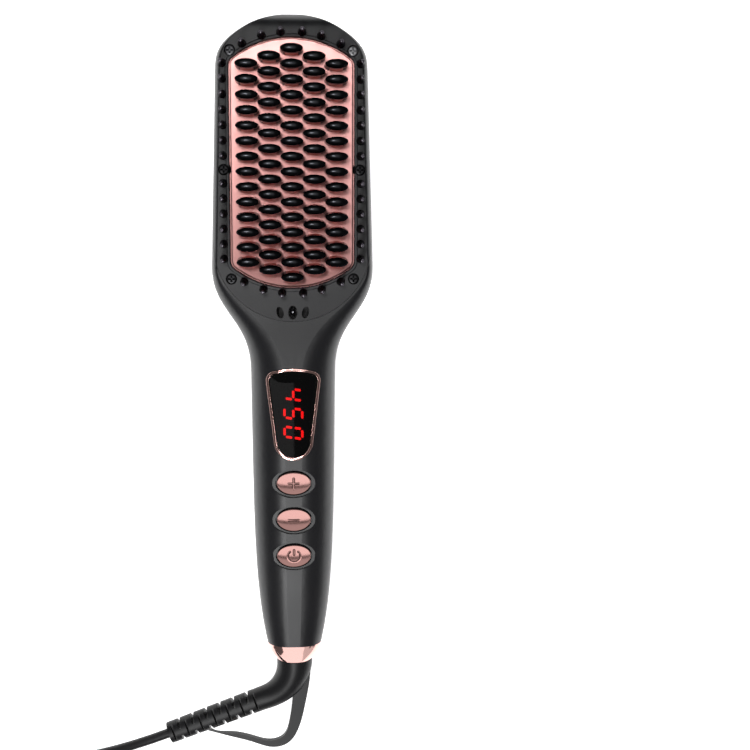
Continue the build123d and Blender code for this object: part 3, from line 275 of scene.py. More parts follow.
CASING = Finish("casing_satin", Slot.DARK_PLASTIC, (0.013, 0.013, 0.015), rough=0.38, grain_scale=2600.0,
                bump_mm=0.004)
FRAME = Finish("head_frame_satin", Slot.BEZEL_PLASTIC, (0.017, 0.017, 0.019), rough=0.42, grain_scale=2600.0,
               bump_mm=0.004)
TOOTH = Finish("tooth_cap_gloss", Slot.TOOTH_PLASTIC, (0.024, 0.025, 0.028), rough=0.16, rough_spread=0.02,
               grain_scale=900.0, bump_mm=0.002, metallic=1.0, edge_tint=0.0)
NUB = Finish("nub_gloss", Slot.TOOTH_PLASTIC, (0.140, 0.130, 0.148), rough=0.28, rough_spread=0.02,
             grain_scale=900.0, bump_mm=0.003, metallic=1.0, edge_tint=0.0)
COPPER_COAT = Finish("plate_copper_coat", Slot.COPPER_COAT, (0.80, 0.41, 0.385), rough=0.40, metallic=1.0,
                     grain_scale=4200.0, colour_spread=0.04, bump_mm=0.012)
# Painted shade: the fins carry the plate's copper coat, and this copy of it is redder and darker in colour to
# give the look of the fins in the shade of their caps.
FIN_COPPER_PAINTED_SHADE = Finish("fin_copper_painted_shade", Slot.COPPER_COAT, (0.80, 0.30, 0.27), rough=0.50, metallic=0.3,
                    grain_scale=4200.0, colour_spread=0.03, bump_mm=0.006)
COPPER_TRIM = Finish("polished_copper", Slot.COPPER_TRIM, (0.88, 0.55, 0.50), rough=0.12, metallic=1.0,
                     grain_scale=1800.0, colour_spread=0.03, bump_mm=0.002)
COPPER_KEY = Finish("key_copper_coat", Slot.COPPER_TRIM, (0.80, 0.44, 0.40), rough=0.13, metallic=1.0,
                    grain_scale=3000.0, colour_spread=0.03, bump_mm=0.004)
LENS = Finish("smoked_gloss", Slot.SMOKED_LENS, (0.004, 0.004, 0.005), rough=0.02, rough_spread=0.005,
              colour_spread=0.0, bump_mm=0.0003, alpha=0.8)
LIT = Finish("lit_bar_glow", Slot.LIT_FIGURES, (1.0, 0.006, 0.006), glow=28.0)
CERAMIC = Finish("fired_ceramic", Slot.WHITE_CERAMIC, (0.80, 0.79, 0.76), rough=0.35)
MICA = Finish("mica_sheet", Slot.MICA, (0.50, 0.40, 0.22), rough=0.25, colour_spread=0.5, mottle_scale=260.0)
STEEL = Finish("plated_steel", Slot.STEEL, (0.45, 0.45, 0.46), rough=0.3, metallic=1.0)
BLACK_STEEL = Finish("blackened_steel", Slot.STEEL, (0.035, 0.035, 0.037), rough=0.36, metallic=0.9)
DARK_STEEL = Finish("dark_plated_steel", Slot.STEEL, (0.16, 0.16, 0.17), rough=0.32, metallic=1.0)
FELT = Finish("glass_felt", Slot.FELT, (0.62, 0.60, 0.55), rough=0.95, grain_scale=2200.0, bump_mm=0.15)
BOARD = Finish("circuit_board", Slot.BOARD, (0.02, 0.16, 0.06), rough=0.3, coat=0.4)
PART = Finish("moulded_component", Slot.COMPONENT, (0.010, 0.010, 0.012))
BRASS = Finish("contact_brass", Slot.BRASS, (0.80, 0.56, 0.22), rough=0.24, metallic=1.0)
RUBBER = Finish("cord_rubber", Slot.RUBBER, (0.012, 0.012, 0.013), grain_scale=1600.0, bump_mm=0.008,
                specular=0.3)
SLEEVE = Finish("red_lead_sleeve", Slot.LEAD_SLEEVE, (0.45, 0.04, 0.03), rough=0.5)
BLACK_SLEEVE = Finish("black_lead_sleeve", Slot.LEAD_SLEEVE, (0.012, 0.012, 0.013), rough=0.5)


class Mesh:
    """Ways to turn outlines and copied nodes into finished pieces."""

    SMOOTH_DEGREES = 30.0
    BEVEL_DEGREES = 40.0
    WELD = 0.002 * MM
    ROW_DIGITS = 5

    @classmethod
    def piece(cls, name: str, mesh: bpy.types.Mesh, finish: Finish, *stands_for: str,
              body: Body = Body.BRUSH) -> bpy.types.Object:
        """Make a mesh a piece that rides on a body.

        Args:
            name: the piece's name.
            mesh: its mesh, in place in the frame.
            finish: its finish.
            *stands_for: solids that the piece replaces.
            body: the body that it rides on.

        Returns:
            The piece.
        """
        made = placed(name, mesh)
        mesh.materials.clear()
        mesh.materials.append(finish.material())
        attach(made, body.value)
        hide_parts(*stands_for)
        LOG.info("%s: %d faces", name, len(mesh.polygons))
        return made

    @staticmethod
    def applied(source: bpy.types.Object) -> bpy.types.Mesh:
        """Give the mesh that an object's modifiers make, and remove the object.

        Args:
            source: an object with live modifiers.

        Returns:
            A plain mesh.
        """
        graph = bpy.context.evaluated_depsgraph_get()
        mesh = bpy.data.meshes.new_from_object(source.evaluated_get(graph), depsgraph=graph)
        bpy.data.objects.remove(source)
        return mesh

    @classmethod
    def modified(cls, mesh: bpy.types.Mesh, kind: str, **values: object) -> bpy.types.Mesh:
        """Put a mesh through one modifier.

        Args:
            mesh: the mesh.
            kind: Blender's name of the modifier's type.
            **values: properties of the modifier, by name.

        Returns:
            The new mesh.
        """
        carrier = placed("carrier", mesh)
        modifier = carrier.modifiers.new("step", kind)
        for name, value in values.items():
            setattr(modifier, name, value)
        return cls.applied(carrier)

    @classmethod
    def smooth(cls, mesh: bpy.types.Mesh, angle: float = SMOOTH_DEGREES) -> bpy.types.Mesh:
        """Shade a mesh smooth, but for edges sharper than an angle, with normals that follow its large faces.

        Args:
            mesh: the mesh.
            angle: widest angle in degrees that is still shaded as round.

        Returns:
            The shaded mesh.
        """
        mesh.shade_smooth()
        mesh.set_sharp_from_angle(angle=math.radians(angle))
        return cls.modified(mesh, "WEIGHTED_NORMAL", keep_sharp=True)

    @classmethod
    def bevelled(cls, mesh: bpy.types.Mesh, width: float, segments: int = 1) -> bpy.types.Mesh:
        """Round the sharp edges of a mesh by a width in metres."""
        return cls.modified(mesh, "BEVEL", width=width, segments=segments, limit_method="ANGLE",
                            angle_limit=math.radians(cls.BEVEL_DEGREES))

    @classmethod
    def merged_copy(cls, node: str) -> bpy.types.Mesh:
        """Copy a solid's mesh and join its loose triangles.

        Args:
            node: the solid's name.

        Returns:
            The copy.
        """
        mesh = bpy.data.objects[node].data.copy()
        form = bmesh.new()
        form.from_mesh(mesh)
        bmesh.ops.remove_doubles(form, verts=form.verts, dist=cls.WELD)
        form.to_mesh(mesh)
        form.free()
        return mesh

    @classmethod
    def refined(cls, name: str, node: str, finish: Finish, body: Body = Body.BRUSH) -> bpy.types.Object:
        """Make a piece with a solid's own form and its exact normals."""
        return cls.piece(name, bpy.data.objects[node].data.copy(), finish, node, body=body)

    @classmethod
    def islands(cls, node: str) -> list[tuple[Vector, Vector]]:
        """Find the separate solids of a node.

        Args:
            node: the node's name.

        Returns:
            Lowest and highest corner of each solid, in order along Y and then X.
        """
        form = bmesh.new()
        form.from_mesh(cls.merged_copy(node))
        left, boxes = set(form.verts), []
        while left:
            places, growing = [], [left.pop()]
            while growing:
                vert = growing.pop()
                places.append(vert.co.copy())
                fresh = [edge.other_vert(vert) for edge in vert.link_edges]
                growing += [other for other in fresh if other in left]
                left.difference_update(fresh)
            boxes.append(tuple(Vector(pick(place[axis] for place in places) for axis in range(3))
                               for pick in (min, max)))
        form.free()
        return sorted(boxes, key=lambda box: (round(box[0].y, cls.ROW_DIGITS), box[0].x))

    @classmethod
    def feet(cls, node: str) -> list[Vector]:
        """Give the middle of the underside of each separate solid of a node."""
        return [Vector(((low.x + high.x) / 2, (low.y + high.y) / 2, low.z))
                for low, high in cls.islands(node)]

    @staticmethod
    def joined(form: bmesh.types.BMesh, rows: list[list[bmesh.types.BMVert]],
               ends: tuple[tuple[int, Point | None], ...]) -> bpy.types.Mesh:
        """Join rows of points with faces all round and turn the form into a mesh.

        Args:
            form: the form that holds the points, which is freed.
            rows: the rows, from the bottom up, all with as many points.
            ends: for each row that is closed its place and its middle, or None for a single flat face.

        Returns:
            The mesh.
        """
        count = len(rows[0])
        for low, high in zip(rows, rows[1:]):
            for place in range(count):
                following = (place + 1) % count
                form.faces.new((low[place], low[following], high[following], high[place]))
        for number, middle in ends:
            row = rows[number]
            if middle is None:
                form.faces.new(row)
                continue
            pole = form.verts.new(middle)
            for place in range(count):
                form.faces.new((row[place], row[(place + 1) % count], pole))
        bmesh.ops.recalc_face_normals(form, faces=form.faces)
        mesh = bpy.data.meshes.new("shell")
        form.to_mesh(mesh)
        form.free()
        return mesh

    @classmethod
    def stacked(cls, rings: list[list[Point]], bottom: Point | None = None,
                top: Point | None = None) -> bpy.types.Mesh:
        """Join rings of points, one above the other, into a closed shell.

        Args:
            rings: the rings, from the bottom up, all with as many points.
            bottom: middle of the underside, or None for a single flat face.
            top: middle of the upper side, or None for a single flat face.

        Returns:
            The shell's mesh.
        """
        form = bmesh.new()
        rows = [[form.verts.new(point) for point in ring] for ring in rings]
        return cls.joined(form, rows, ((0, bottom), (-1, top)))

    @classmethod
    def carved(cls, mesh: bpy.types.Mesh, rings: list[list[Point]]) -> bpy.types.Mesh:
        """Cut a shell of stacked rings out of a mesh.

        Args:
            mesh: the mesh.
            rings: the shell's rings, from the bottom up.

        Returns:
            The new mesh.
        """
        cutter = placed("cutter", cls.stacked(rings))
        mesh = cls.modified(mesh, "BOOLEAN", operation="DIFFERENCE", object=cutter, solver="EXACT")
        bpy.data.objects.remove(cutter)
        return mesh

    @classmethod
    def turned(cls, profile: Line, sides: int) -> bpy.types.Mesh:
        """Turn a profile about the Z axis.

        Args:
            profile: radius and height of each point, from the bottom up, without the two ends on the axis.
            sides: number of sides.

        Returns:
            The closed mesh.
        """
        ways = [2 * math.pi * side / sides for side in range(sides)]
        rings = [[(radius * math.cos(way), radius * math.sin(way), height) for way in ways]
                 for radius, height in profile]
        return cls.stacked(rings, (0, 0, profile[0][1]), (0, 0, profile[-1][1]))


class Copies:
    """Geometry Nodes tree that puts copies of an item at the vertices of a mesh."""

    NAME = "copies_on_points"

    @classmethod
    def tree(cls) -> bpy.types.NodeTree:
        """Build the tree once and give it.

        Returns:
            The tree, whose named inputs are the item, its scale and its material.
        """
        found = bpy.data.node_groups.get(cls.NAME)
        if found:
            return found
        tree = bpy.data.node_groups.new(cls.NAME, "GeometryNodeTree")
        for name, kind in (("Geometry", "Geometry"), ("Item", "Object"), ("Item Scale", "Float"),
                           ("Material", "Material")):
            tree.interface.new_socket(name, in_out="INPUT", socket_type="NodeSocket" + kind)
        tree.interface.new_socket("Geometry", in_out="OUTPUT", socket_type="NodeSocketGeometry")
        kit = NodeKit(tree)
        given, result = kit.add("NodeGroupInput"), kit.add("NodeGroupOutput")
        item = kit.add("GeometryNodeObjectInfo")
        place = kit.add("GeometryNodeInstanceOnPoints")
        real = kit.add("GeometryNodeRealizeInstances")
        paint = kit.add("GeometryNodeSetMaterial")
        kit.wire((given, "Item", item, "Object"), (given, "Geometry", place, "Points"),
                 (item, "Geometry", place, "Instance"), (given, "Item Scale", place, "Scale"),
                 (place, "Instances", real, "Geometry"), (real, "Geometry", paint, "Geometry"),
                 (given, "Material", paint, "Material"), (paint, "Geometry", result, "Geometry"))
        return tree

    @classmethod
    def piece(cls, name: str, places: list[Vector], item: bpy.types.Mesh, finish: Finish,
              *stands_for: str) -> bpy.types.Object:
        """Copy an item to each place and make the copies one piece of the brush.

        Args:
            name: the piece's name.
            places: where the copies go.
            item: the item's mesh, about the origin.
            finish: finish of the copies.
            *stands_for: solids that the piece replaces.

        Returns:
            The piece.
        """
        cloud = bpy.data.meshes.new(name + "_places")
        cloud.from_pydata([tuple(place) for place in places], [], [])
        carrier = placed(name + "_carrier", cloud)
        model = placed(name + "_item", item)
        modifier = carrier.modifiers.new("copies", "NODES")
        modifier.node_group = cls.tree()
        names = {socket.name: socket.identifier for socket in cls.tree().interface.items_tree
                 if socket.in_out == "INPUT"}
        for socket, value in (("Item", model), ("Item Scale", 1.0), ("Material", finish.material())):
            modifier[names[socket]] = value
        mesh = Mesh.applied(carrier)
        bpy.data.objects.remove(model)
        mesh.name = name
        return Mesh.piece(name, mesh, finish, *stands_for)


@dataclass
class Casing:
    """Front and rear casing with the frame of the head and the felt."""

    def build(self) -> None:
        """Dress the casing's pieces."""
        Mesh.refined("front_casing", "front_shell", CASING)
        Mesh.refined("rear_casing", "rear_shell", CASING)
        Mesh.refined("head_frame", "head_bezel", FRAME)
        FELT.dress("insulation_felt")


@dataclass
class Screws:
    """Cross recessed screws of the frame and of the handle's back, copied onto their seats."""

    head_radius: float = 2.1 * MM
    head_height: float = 1.5 * MM
    rim_round: float = 0.55 * MM
    rim_spread: float = 1.5
    shank_radius: float = 1.2 * MM
    shank_length: float = 9.0 * MM
    point: float = 0.48 * MM
    recess_reach: float = 1.35 * MM
    recess_half: float = 0.38 * MM
    recess_depth: float = 0.9 * MM
    recess_lean: float = 0.3
    sides: int = 36
    round_steps: int = 5

    def blank(self) -> bpy.types.Mesh:
        """Turn the screw's head and shank, with its seat at the origin.

        Returns:
            The mesh without its recess.
        """
        profile = [(self.shank_radius - self.point, -self.shank_length),
                   (self.shank_radius, self.point - self.shank_length), (self.shank_radius, 0.0),
                   (self.head_radius, 0.0)]
        profile += [(self.head_radius - self.rim_spread * self.rim_round * (1 - math.cos(turn)),
                     self.head_height - self.rim_round * (1 - math.sin(turn)))
                    for turn in quarter(self.round_steps)]
        return Mesh.turned(profile, self.sides)

    def recess(self) -> list[list[Point]]:
        """Give the rings of the tapered cross that is cut into the head.

        Returns:
            The rings, from the bottom up.
        """
        reach, half = self.recess_reach, self.recess_half
        arm = [(reach, -half), (reach, half), (half, half)]
        outline = []
        for _ in range(4):
            outline += arm
            arm = [(-y, x) for x, y in arm]
        low, high = self.head_height - self.recess_depth, self.head_height + self.recess_depth
        return [[(x * scale, y * scale, level) for x, y in outline]
                for scale, level in ((self.recess_lean, low), (2 - self.recess_lean, high))]

    def item(self) -> bpy.types.Mesh:
        """Cut the recess into the blank and shade it."""
        return Mesh.smooth(Mesh.carved(self.blank(), self.recess()))

    def build(self) -> None:
        """Put the screws on their seats."""
        seats = [foot + Vector((0, 0, self.shank_length)) for foot in Mesh.feet("bezel_screws")]
        top = max(seat.y for seat in seats)
        tips = [seat for seat in seats if seat.y > top - MM]
        rest = [seat for seat in seats if seat not in tips]
        # Painted light and shade: the two tip screws are the same kind of screw; the right one gets bright
        # steel and the left one dark steel to give the light and shade that fall on each.
        for name, finish, chosen in (("right_tip_screw", STEEL, [seat for seat in tips if seat.x > 0]),
                                     ("left_tip_screw", DARK_STEEL, [seat for seat in tips if seat.x < 0]),
                                     ("frame_screws", BLACK_STEEL, rest)):
            Copies.piece(name, chosen, self.item(), finish, "bezel_screws")
        upturned = self.item()
        upturned.transform(Matrix.Rotation(math.pi, 4, "X"))
        seats = [foot + Vector((0, 0, self.head_height)) for foot in Mesh.feet("handle_screws")]
        Copies.piece("rear_screws", seats, upturned, BLACK_STEEL, "handle_screws")


@dataclass
class HotPlate:
    """Heating plate with its teeth: a hot fin in each heat safe cap."""

    base_length: float = 9.1 * MM
    base_width: float = 4.2 * MM
    tip_length: float = 8.7 * MM
    tip_width: float = 3.5 * MM
    height: float = 14.0 * MM
    dome: float = 1.7 * MM
    dome_power: float = 2.8
    dome_steps: int = 6
    window_half: float = 2.65 * MM
    window_high: float = 9.0 * MM
    arm_steps: int = 4
    post_steps: int = 2
    end_sides: int = 8
    middle_sides: int = 6
    edge_round: float = 0.11 * MM
    fin_inset: float = 0.18 * MM
    fin_gap: float = 0.12 * MM
    fin_shoulder: float = 7.9 * MM
    fin_rise: float = 0.95 * MM
    fin_lean: float = 0.72 * MM
    fin_sides: int = 8
    shoulder_steps: int = 5
    smooth_degrees: float = 40.0
    columns: int = 5

    def half_sizes(self, level: float) -> tuple[float, float]:
        """Half length and half width of a tooth at a level below its dome."""
        share = level / (self.height - self.dome)
        return ((self.base_length + (self.tip_length - self.base_length) * share) / 2,
                (self.base_width + (self.tip_width - self.base_width) * share) / 2)

    def ring_ways(self, level: float) -> list[float]:
        """Angles of a tooth's ring of points, with one at each corner of the window.

        Args:
            level: height above the plate.

        Returns:
            The angles: the right end, the upper side, the left end and the lower side.
        """
        half = self.half_sizes(level)[0]
        corner = math.acos(self.window_half / half)
        right = [corner * (2 * step / self.end_sides - 1) for step in range(self.end_sides + 1)]
        across = [self.window_half * (1 - 2 * step / self.middle_sides)
                  for step in range(1, self.middle_sides)]
        upper = [math.acos(x / half) for x in across]
        return right + upper + [math.pi + way for way in right] + [math.pi + way for way in upper]

    @staticmethod
    def ring(ways: list[float], halves: tuple[float, float], level: float) -> list[Point]:
        """Points of an oval ring at a level."""
        return [(halves[0] * math.cos(way), halves[1] * math.sin(way), level) for way in ways]

    def cap(self) -> bpy.types.Mesh:
        """Make one cap: two arms beside the window, and an oval post with a domed tip above it.

        Returns:
            The cap's mesh, standing on the origin.
        """
        form = bmesh.new()
        rows = []
        for step in range(self.arm_steps + 1):
            level = self.window_high * step / self.arm_steps
            ring = self.ring(self.ring_ways(level), self.half_sizes(level), level)
            rows.append([form.verts.new(point) for point in ring])
        count, ends = len(rows[0]), self.end_sides
        for first in (0, count // 2):
            for low, high in zip(rows, rows[1:]):
                for place in range(first, first + ends):
                    form.faces.new((low[place], low[place + 1], high[place + 1], high[place]))
                form.faces.new((low[first + ends], low[first], high[first], high[first + ends]))
            form.faces.new(rows[0][first:first + ends + 1])
        ceiling = rows[-1]
        for place in range(self.middle_sides):
            form.faces.new((ceiling[ends + place], ceiling[ends + place + 1], ceiling[(-place - 1) % count],
                            ceiling[-place % count]))
        ways = self.ring_ways(self.window_high)
        post_top = self.height - self.dome
        upper = [(post_top + (self.window_high - post_top) * (1 - step / self.post_steps), 1.0)
                 for step in range(1, self.post_steps + 1)]
        upper += [(post_top + self.dome * math.sin(turn) ** (2 / self.dome_power),
                   math.cos(turn) ** (2 / self.dome_power)) for turn in quarter(self.dome_steps)[1:-1]]
        rows = [ceiling]
        for level, scale in upper:
            halves = tuple(half * scale for half in self.half_sizes(min(level, post_top)))
            rows.append([form.verts.new(point) for point in self.ring(ways, halves, level)])
        mesh = Mesh.joined(form, rows, ((-1, (0, 0, self.height)),))
        return Mesh.smooth(Mesh.bevelled(mesh, self.edge_round))

    def fin(self) -> bpy.types.Mesh:
        """Make one hot fin: it fills the window and rounds off under the cap.

        Returns:
            The fin's mesh, standing on the origin.
        """
        half = self.window_half - self.fin_gap
        across = [half * (1 - 2 * step / self.fin_sides) for step in range(self.fin_sides + 1)]
        levels = [(0.0, 0.0), (self.fin_shoulder / 2, 0.0)]
        levels += [(self.fin_shoulder + self.fin_rise * math.sin(turn), self.fin_lean * (1 - math.cos(turn)))
                   for turn in quarter(self.shoulder_steps)]
        rings = []
        for level, lean in levels:
            length, width = (size - self.fin_inset for size in self.half_sizes(level))
            side = [(x, width * math.sqrt(1 - (x / length) ** 2) - lean) for x in across]
            rings.append([(x, y, level) for x, y in side] + [(-x, -y, level) for x, y in side])
        return Mesh.smooth(Mesh.stacked(rings), self.smooth_degrees)

    def build(self) -> None:
        """Dress the plate and stand the teeth on it."""
        Mesh.refined("hot_plate", "heating_plate", COPPER_COAT)
        feet = Mesh.feet("heat_fins")
        Copies.piece("hot_fins", feet, self.fin(), FIN_COPPER_PAINTED_SHADE, "heat_fins")
        columns = [f"tooth_caps_column_{number + 1}" for number in range(self.columns)]
        Copies.piece("tooth_caps", feet, self.cap(), TOOTH, *columns)


@dataclass
class Nubs:
    """Round tipped nubs round the plate."""

    base_radius: float = 1.65 * MM
    tip_radius: float = 0.85 * MM
    height: float = 14.1 * MM
    sides: int = 20
    side_steps: int = 3
    tip_steps: int = 5
    smooth_degrees: float = 40.0

    def item(self) -> bpy.types.Mesh:
        """Turn one nub, standing on the origin.

        Returns:
            The nub's mesh.
        """
        shares = [step / self.side_steps for step in range(self.side_steps + 1)]
        profile = [(self.base_radius + (self.tip_radius - self.base_radius) * share, self.height * share)
                   for share in shares]
        profile += [(self.tip_radius * math.cos(turn), self.height + self.tip_radius * math.sin(turn))
                    for turn in quarter(self.tip_steps)[1:-1]]
        return Mesh.smooth(Mesh.turned(profile, self.sides), self.smooth_degrees)

    def build(self) -> None:
        """Put the nubs into their sockets."""
        Copies.piece("guard_nubs", Mesh.feet("rim_nubs"), self.item(), NUB, "rim_nubs")


@dataclass
class Display:
    """Display window: lit figures on their module, smoked lens and bright trim."""

    bar_round: float = 0.36 * MM
    round_steps: int = 3
    trim_round: float = 0.42 * MM
    trim_steps: int = 4
    flat_degrees: float = 1.0
    upright_share: float = 0.9

    def figures(self) -> bpy.types.Mesh:
        """Round the corners of the lit bars.

        Returns:
            The mesh of all bars.
        """
        form = bmesh.new()
        form.from_mesh(Mesh.merged_copy("display_digits"))
        bmesh.ops.dissolve_limit(form, angle_limit=math.radians(self.flat_degrees), verts=form.verts,
                                 edges=form.edges)
        upright = [edge for edge in form.edges
                   if abs((edge.verts[0].co - edge.verts[1].co).normalized().z) > self.upright_share]
        bmesh.ops.bevel(form, geom=upright, offset=self.bar_round, segments=self.round_steps, profile=0.5,
                        affect="EDGES")
        mesh = bpy.data.meshes.new("lit_bars")
        form.to_mesh(mesh)
        form.free()
        return mesh

    def build(self) -> None:
        """Dress the display."""
        Mesh.piece("lit_bars", self.figures(), LIT, "display_digits")
        Mesh.refined("window_lens", "display_lens", LENS)
        trim = Mesh.bevelled(Mesh.merged_copy("display_trim"), self.trim_round, self.trim_steps)
        Mesh.piece("window_trim", Mesh.smooth(trim), COPPER_TRIM, "display_trim")
        PART.dress("display_module")


@dataclass
class Keys:
    """The three press keys, domed and rimmed with a sunk mark in each, and their plungers."""

    half_length: float = 6.85 * MM
    half_width: float = 4.6 * MM
    dome_radius: float = 26.0 * MM
    dome_steps: int = 12
    rim_round: float = 0.3 * MM
    rim_steps: int = 4
    flange_grow: float = 0.8 * MM
    flange_thickness: float = 0.8 * MM
    cap_thickness: float = 0.55 * MM
    skirt_inset: float = 0.06 * MM
    sides: int = 80
    groove_half: float = 0.52 * MM
    groove_floor: float = 0.1 * MM
    groove_depth: float = 0.2 * MM
    groove_rise: float = 0.4 * MM
    groove_step: float = 0.025 * MM
    cap_steps: int = 8
    bar_half: float = 2.1 * MM
    bar_steps: int = 8
    ring_radius: float = 2.5 * MM
    ring_gap_half: float = math.radians(42.0)
    ring_steps: int = 36
    stem_low: float = 0.75 * MM
    smooth_degrees: float = 24.0

    def dome(self, x: float, y: float) -> float:
        """Level of the dome's surface below its crown."""
        return math.sqrt(self.dome_radius ** 2 - x * x - y * y) - self.dome_radius

    def oval(self, grow: float, scale: float = 1.0, level: float | None = None,
             drop: float = 0.0) -> list[Point]:
        """Points of an oval ring about the crown.

        Args:
            grow: how far the ring stands outside the key's edge.
            scale: share of the ring's size.
            level: height of the ring, or None to follow the dome.
            drop: depth under the dome.

        Returns:
            The points.
        """
        ring = []
        for side in range(self.sides):
            way = 2 * math.pi * side / self.sides
            x = (self.half_length + grow) * scale * math.cos(way)
            y = (self.half_width + grow) * scale * math.sin(way)
            ring.append((x, y, self.dome(x, y) - drop if level is None else level))
        return ring

    def skirt(self, low: float) -> bpy.types.Mesh:
        """Make the dark body and flange under a key's cap, with the crown at the origin.

        Args:
            low: level of the flange's underside.

        Returns:
            The skirt's mesh.
        """
        shelf = low + self.flange_thickness
        inner = -self.skirt_inset
        return Mesh.stacked([self.oval(self.flange_grow, level=low), self.oval(self.flange_grow, level=shelf),
                             self.oval(inner, level=shelf), self.oval(inner, drop=self.cap_thickness)])

    def blank(self) -> bpy.types.Mesh:
        """Make a key's bright cap without its mark, with its crown at the origin.

        Returns:
            The cap's mesh.
        """
        rings = [self.oval(0.0, drop=self.cap_thickness)]
        rings += [self.oval(self.rim_round * (math.cos(turn) - 1), drop=self.rim_round * (1 - math.sin(turn)))
                  for turn in quarter(self.rim_steps)]
        rings += [self.oval(-self.rim_round, scale=1 - step / self.dome_steps)
                  for step in range(1, self.dome_steps)]
        return Mesh.stacked(rings, bottom=(0, 0, -self.cap_thickness), top=(0, 0, 0))

    def strokes(self, name: str) -> list[Line]:
        """Middle lines of a key's mark.

        Args:
            name: the key's name.

        Returns:
            One list of points for each stroke.
        """
        shares = [step / self.bar_steps for step in range(self.bar_steps + 1)]
        level = [(self.bar_half * (2 * share - 1), 0.0) for share in shares]
        if name == "minus":
            return [level]
        if name == "plus":
            return [level, [(y, x) for x, y in level]]
        turns = [self.ring_gap_half + 2 * (math.pi - self.ring_gap_half) * step / self.ring_steps
                 for step in range(self.ring_steps + 1)]
        arc = [(self.ring_radius * math.sin(turn), self.ring_radius * math.cos(turn)) for turn in turns]
        stem = [(0.0, self.ring_radius + (self.stem_low - self.ring_radius) * share) for share in shares]
        return [arc, stem]

    def outline(self, path: Line, half: float) -> Line:
        """Go round a path at a distance, with round ends.

        Args:
            path: the path's points.
            half: the distance.

        Returns:
            The outline's points.
        """
        last = len(path) - 1
        aims = []
        for place in range(last + 1):
            before, after = path[max(place - 1, 0)], path[min(place + 1, last)]
            aims.append(math.atan2(after[1] - before[1], after[0] - before[0]))
        turns = [math.pi / 2 - math.pi * step / self.cap_steps for step in range(self.cap_steps + 1)]
        walk = [(place, aims[place] + math.pi / 2) for place in range(last)]
        walk += [(last, aims[last] + turn) for turn in turns]
        walk += [(place, aims[place] - math.pi / 2) for place in range(last - 1, 0, -1)]
        walk += [(0, aims[0] + turn + math.pi) for turn in turns[:-1]]
        return [(path[place][0] + half * math.cos(way), path[place][1] + half * math.sin(way))
                for place, way in walk]

    def groove(self, path: Line, deeper: float) -> list[list[Point]]:
        """Give the rings of the wedge that is cut out for one stroke.

        Args:
            path: the stroke's middle line.
            deeper: extra depth.

        Returns:
            The rings, from the bottom up.
        """
        slope = (self.groove_half - self.groove_floor) / self.groove_depth
        return [[(x, y, self.dome(x, y) + level) for x, y in self.outline(path, half)]
                for level, half in ((-self.groove_depth - deeper, self.groove_floor),
                                    (self.groove_rise, self.groove_half + slope * self.groove_rise))]

    def build(self) -> None:
        """Dress each key on its own body."""
        for name, body in (("plus", Body.PLUS), ("minus", Body.MINUS), ("power", Body.POWER)):
            low, high = Mesh.islands(name + "_button")[0]
            place = Matrix.Translation(((low.x + high.x) / 2, (low.y + high.y) / 2, high.z))
            cap = self.blank()
            for number, path in enumerate(self.strokes(name)):
                cap = Mesh.carved(cap, self.groove(path, number * self.groove_step))
            skirt = self.skirt(low.z - high.z)
            for part, mesh, finish in (("cap", cap, COPPER_KEY), ("skirt", skirt, CASING)):
                mesh.transform(place)
                mesh = Mesh.smooth(mesh, self.smooth_degrees)
                Mesh.piece(f"{name}_{part}", mesh, finish, name + "_button", body=body)
            PART.dress(name + "_plunger")


@dataclass
class TailEnd:
    """Bright collar, swivel, strain relief with its hanging loop, and the plug."""

    def build(self) -> None:
        """Dress the tail's pieces."""
        Mesh.refined("bright_collar", "collar_ring", COPPER_TRIM)
        Mesh.refined("cord_guard", "strain_relief", RUBBER, Body.SWIVEL)
        Mesh.refined("plug_moulding", "plug_body", RUBBER, Body.SWIVEL)
        PART.dress("swivel_spindle", "swivel_retainer", "contact_block")
        BRASS.dress("slip_rings", "brush_contacts", "plug_blades")


@dataclass
class Inside:
    """Heater stack, ion generator, control board and leads inside the body."""

    def build(self) -> None:
        """Dress the inner pieces."""
        CERAMIC.dress("ceramic_heaters", "thermal_fuse")
        MICA.dress("mica_sheet")
        STEEL.dress("heater_clamp", "clamp_screws", "board_screws")
        DARK_STEEL.dress("ion_emitter")
        PART.dress("plate_carrier", "ion_generator", "thermistor", "tact_switches", "triac",
                   "smoothing_capacitor", "film_capacitor")
        BOARD.dress("control_board")
        SLEEVE.dress("mains_leads")
        BLACK_SLEEVE.dress("sensor_leads", "heater_leads", "ion_leads")


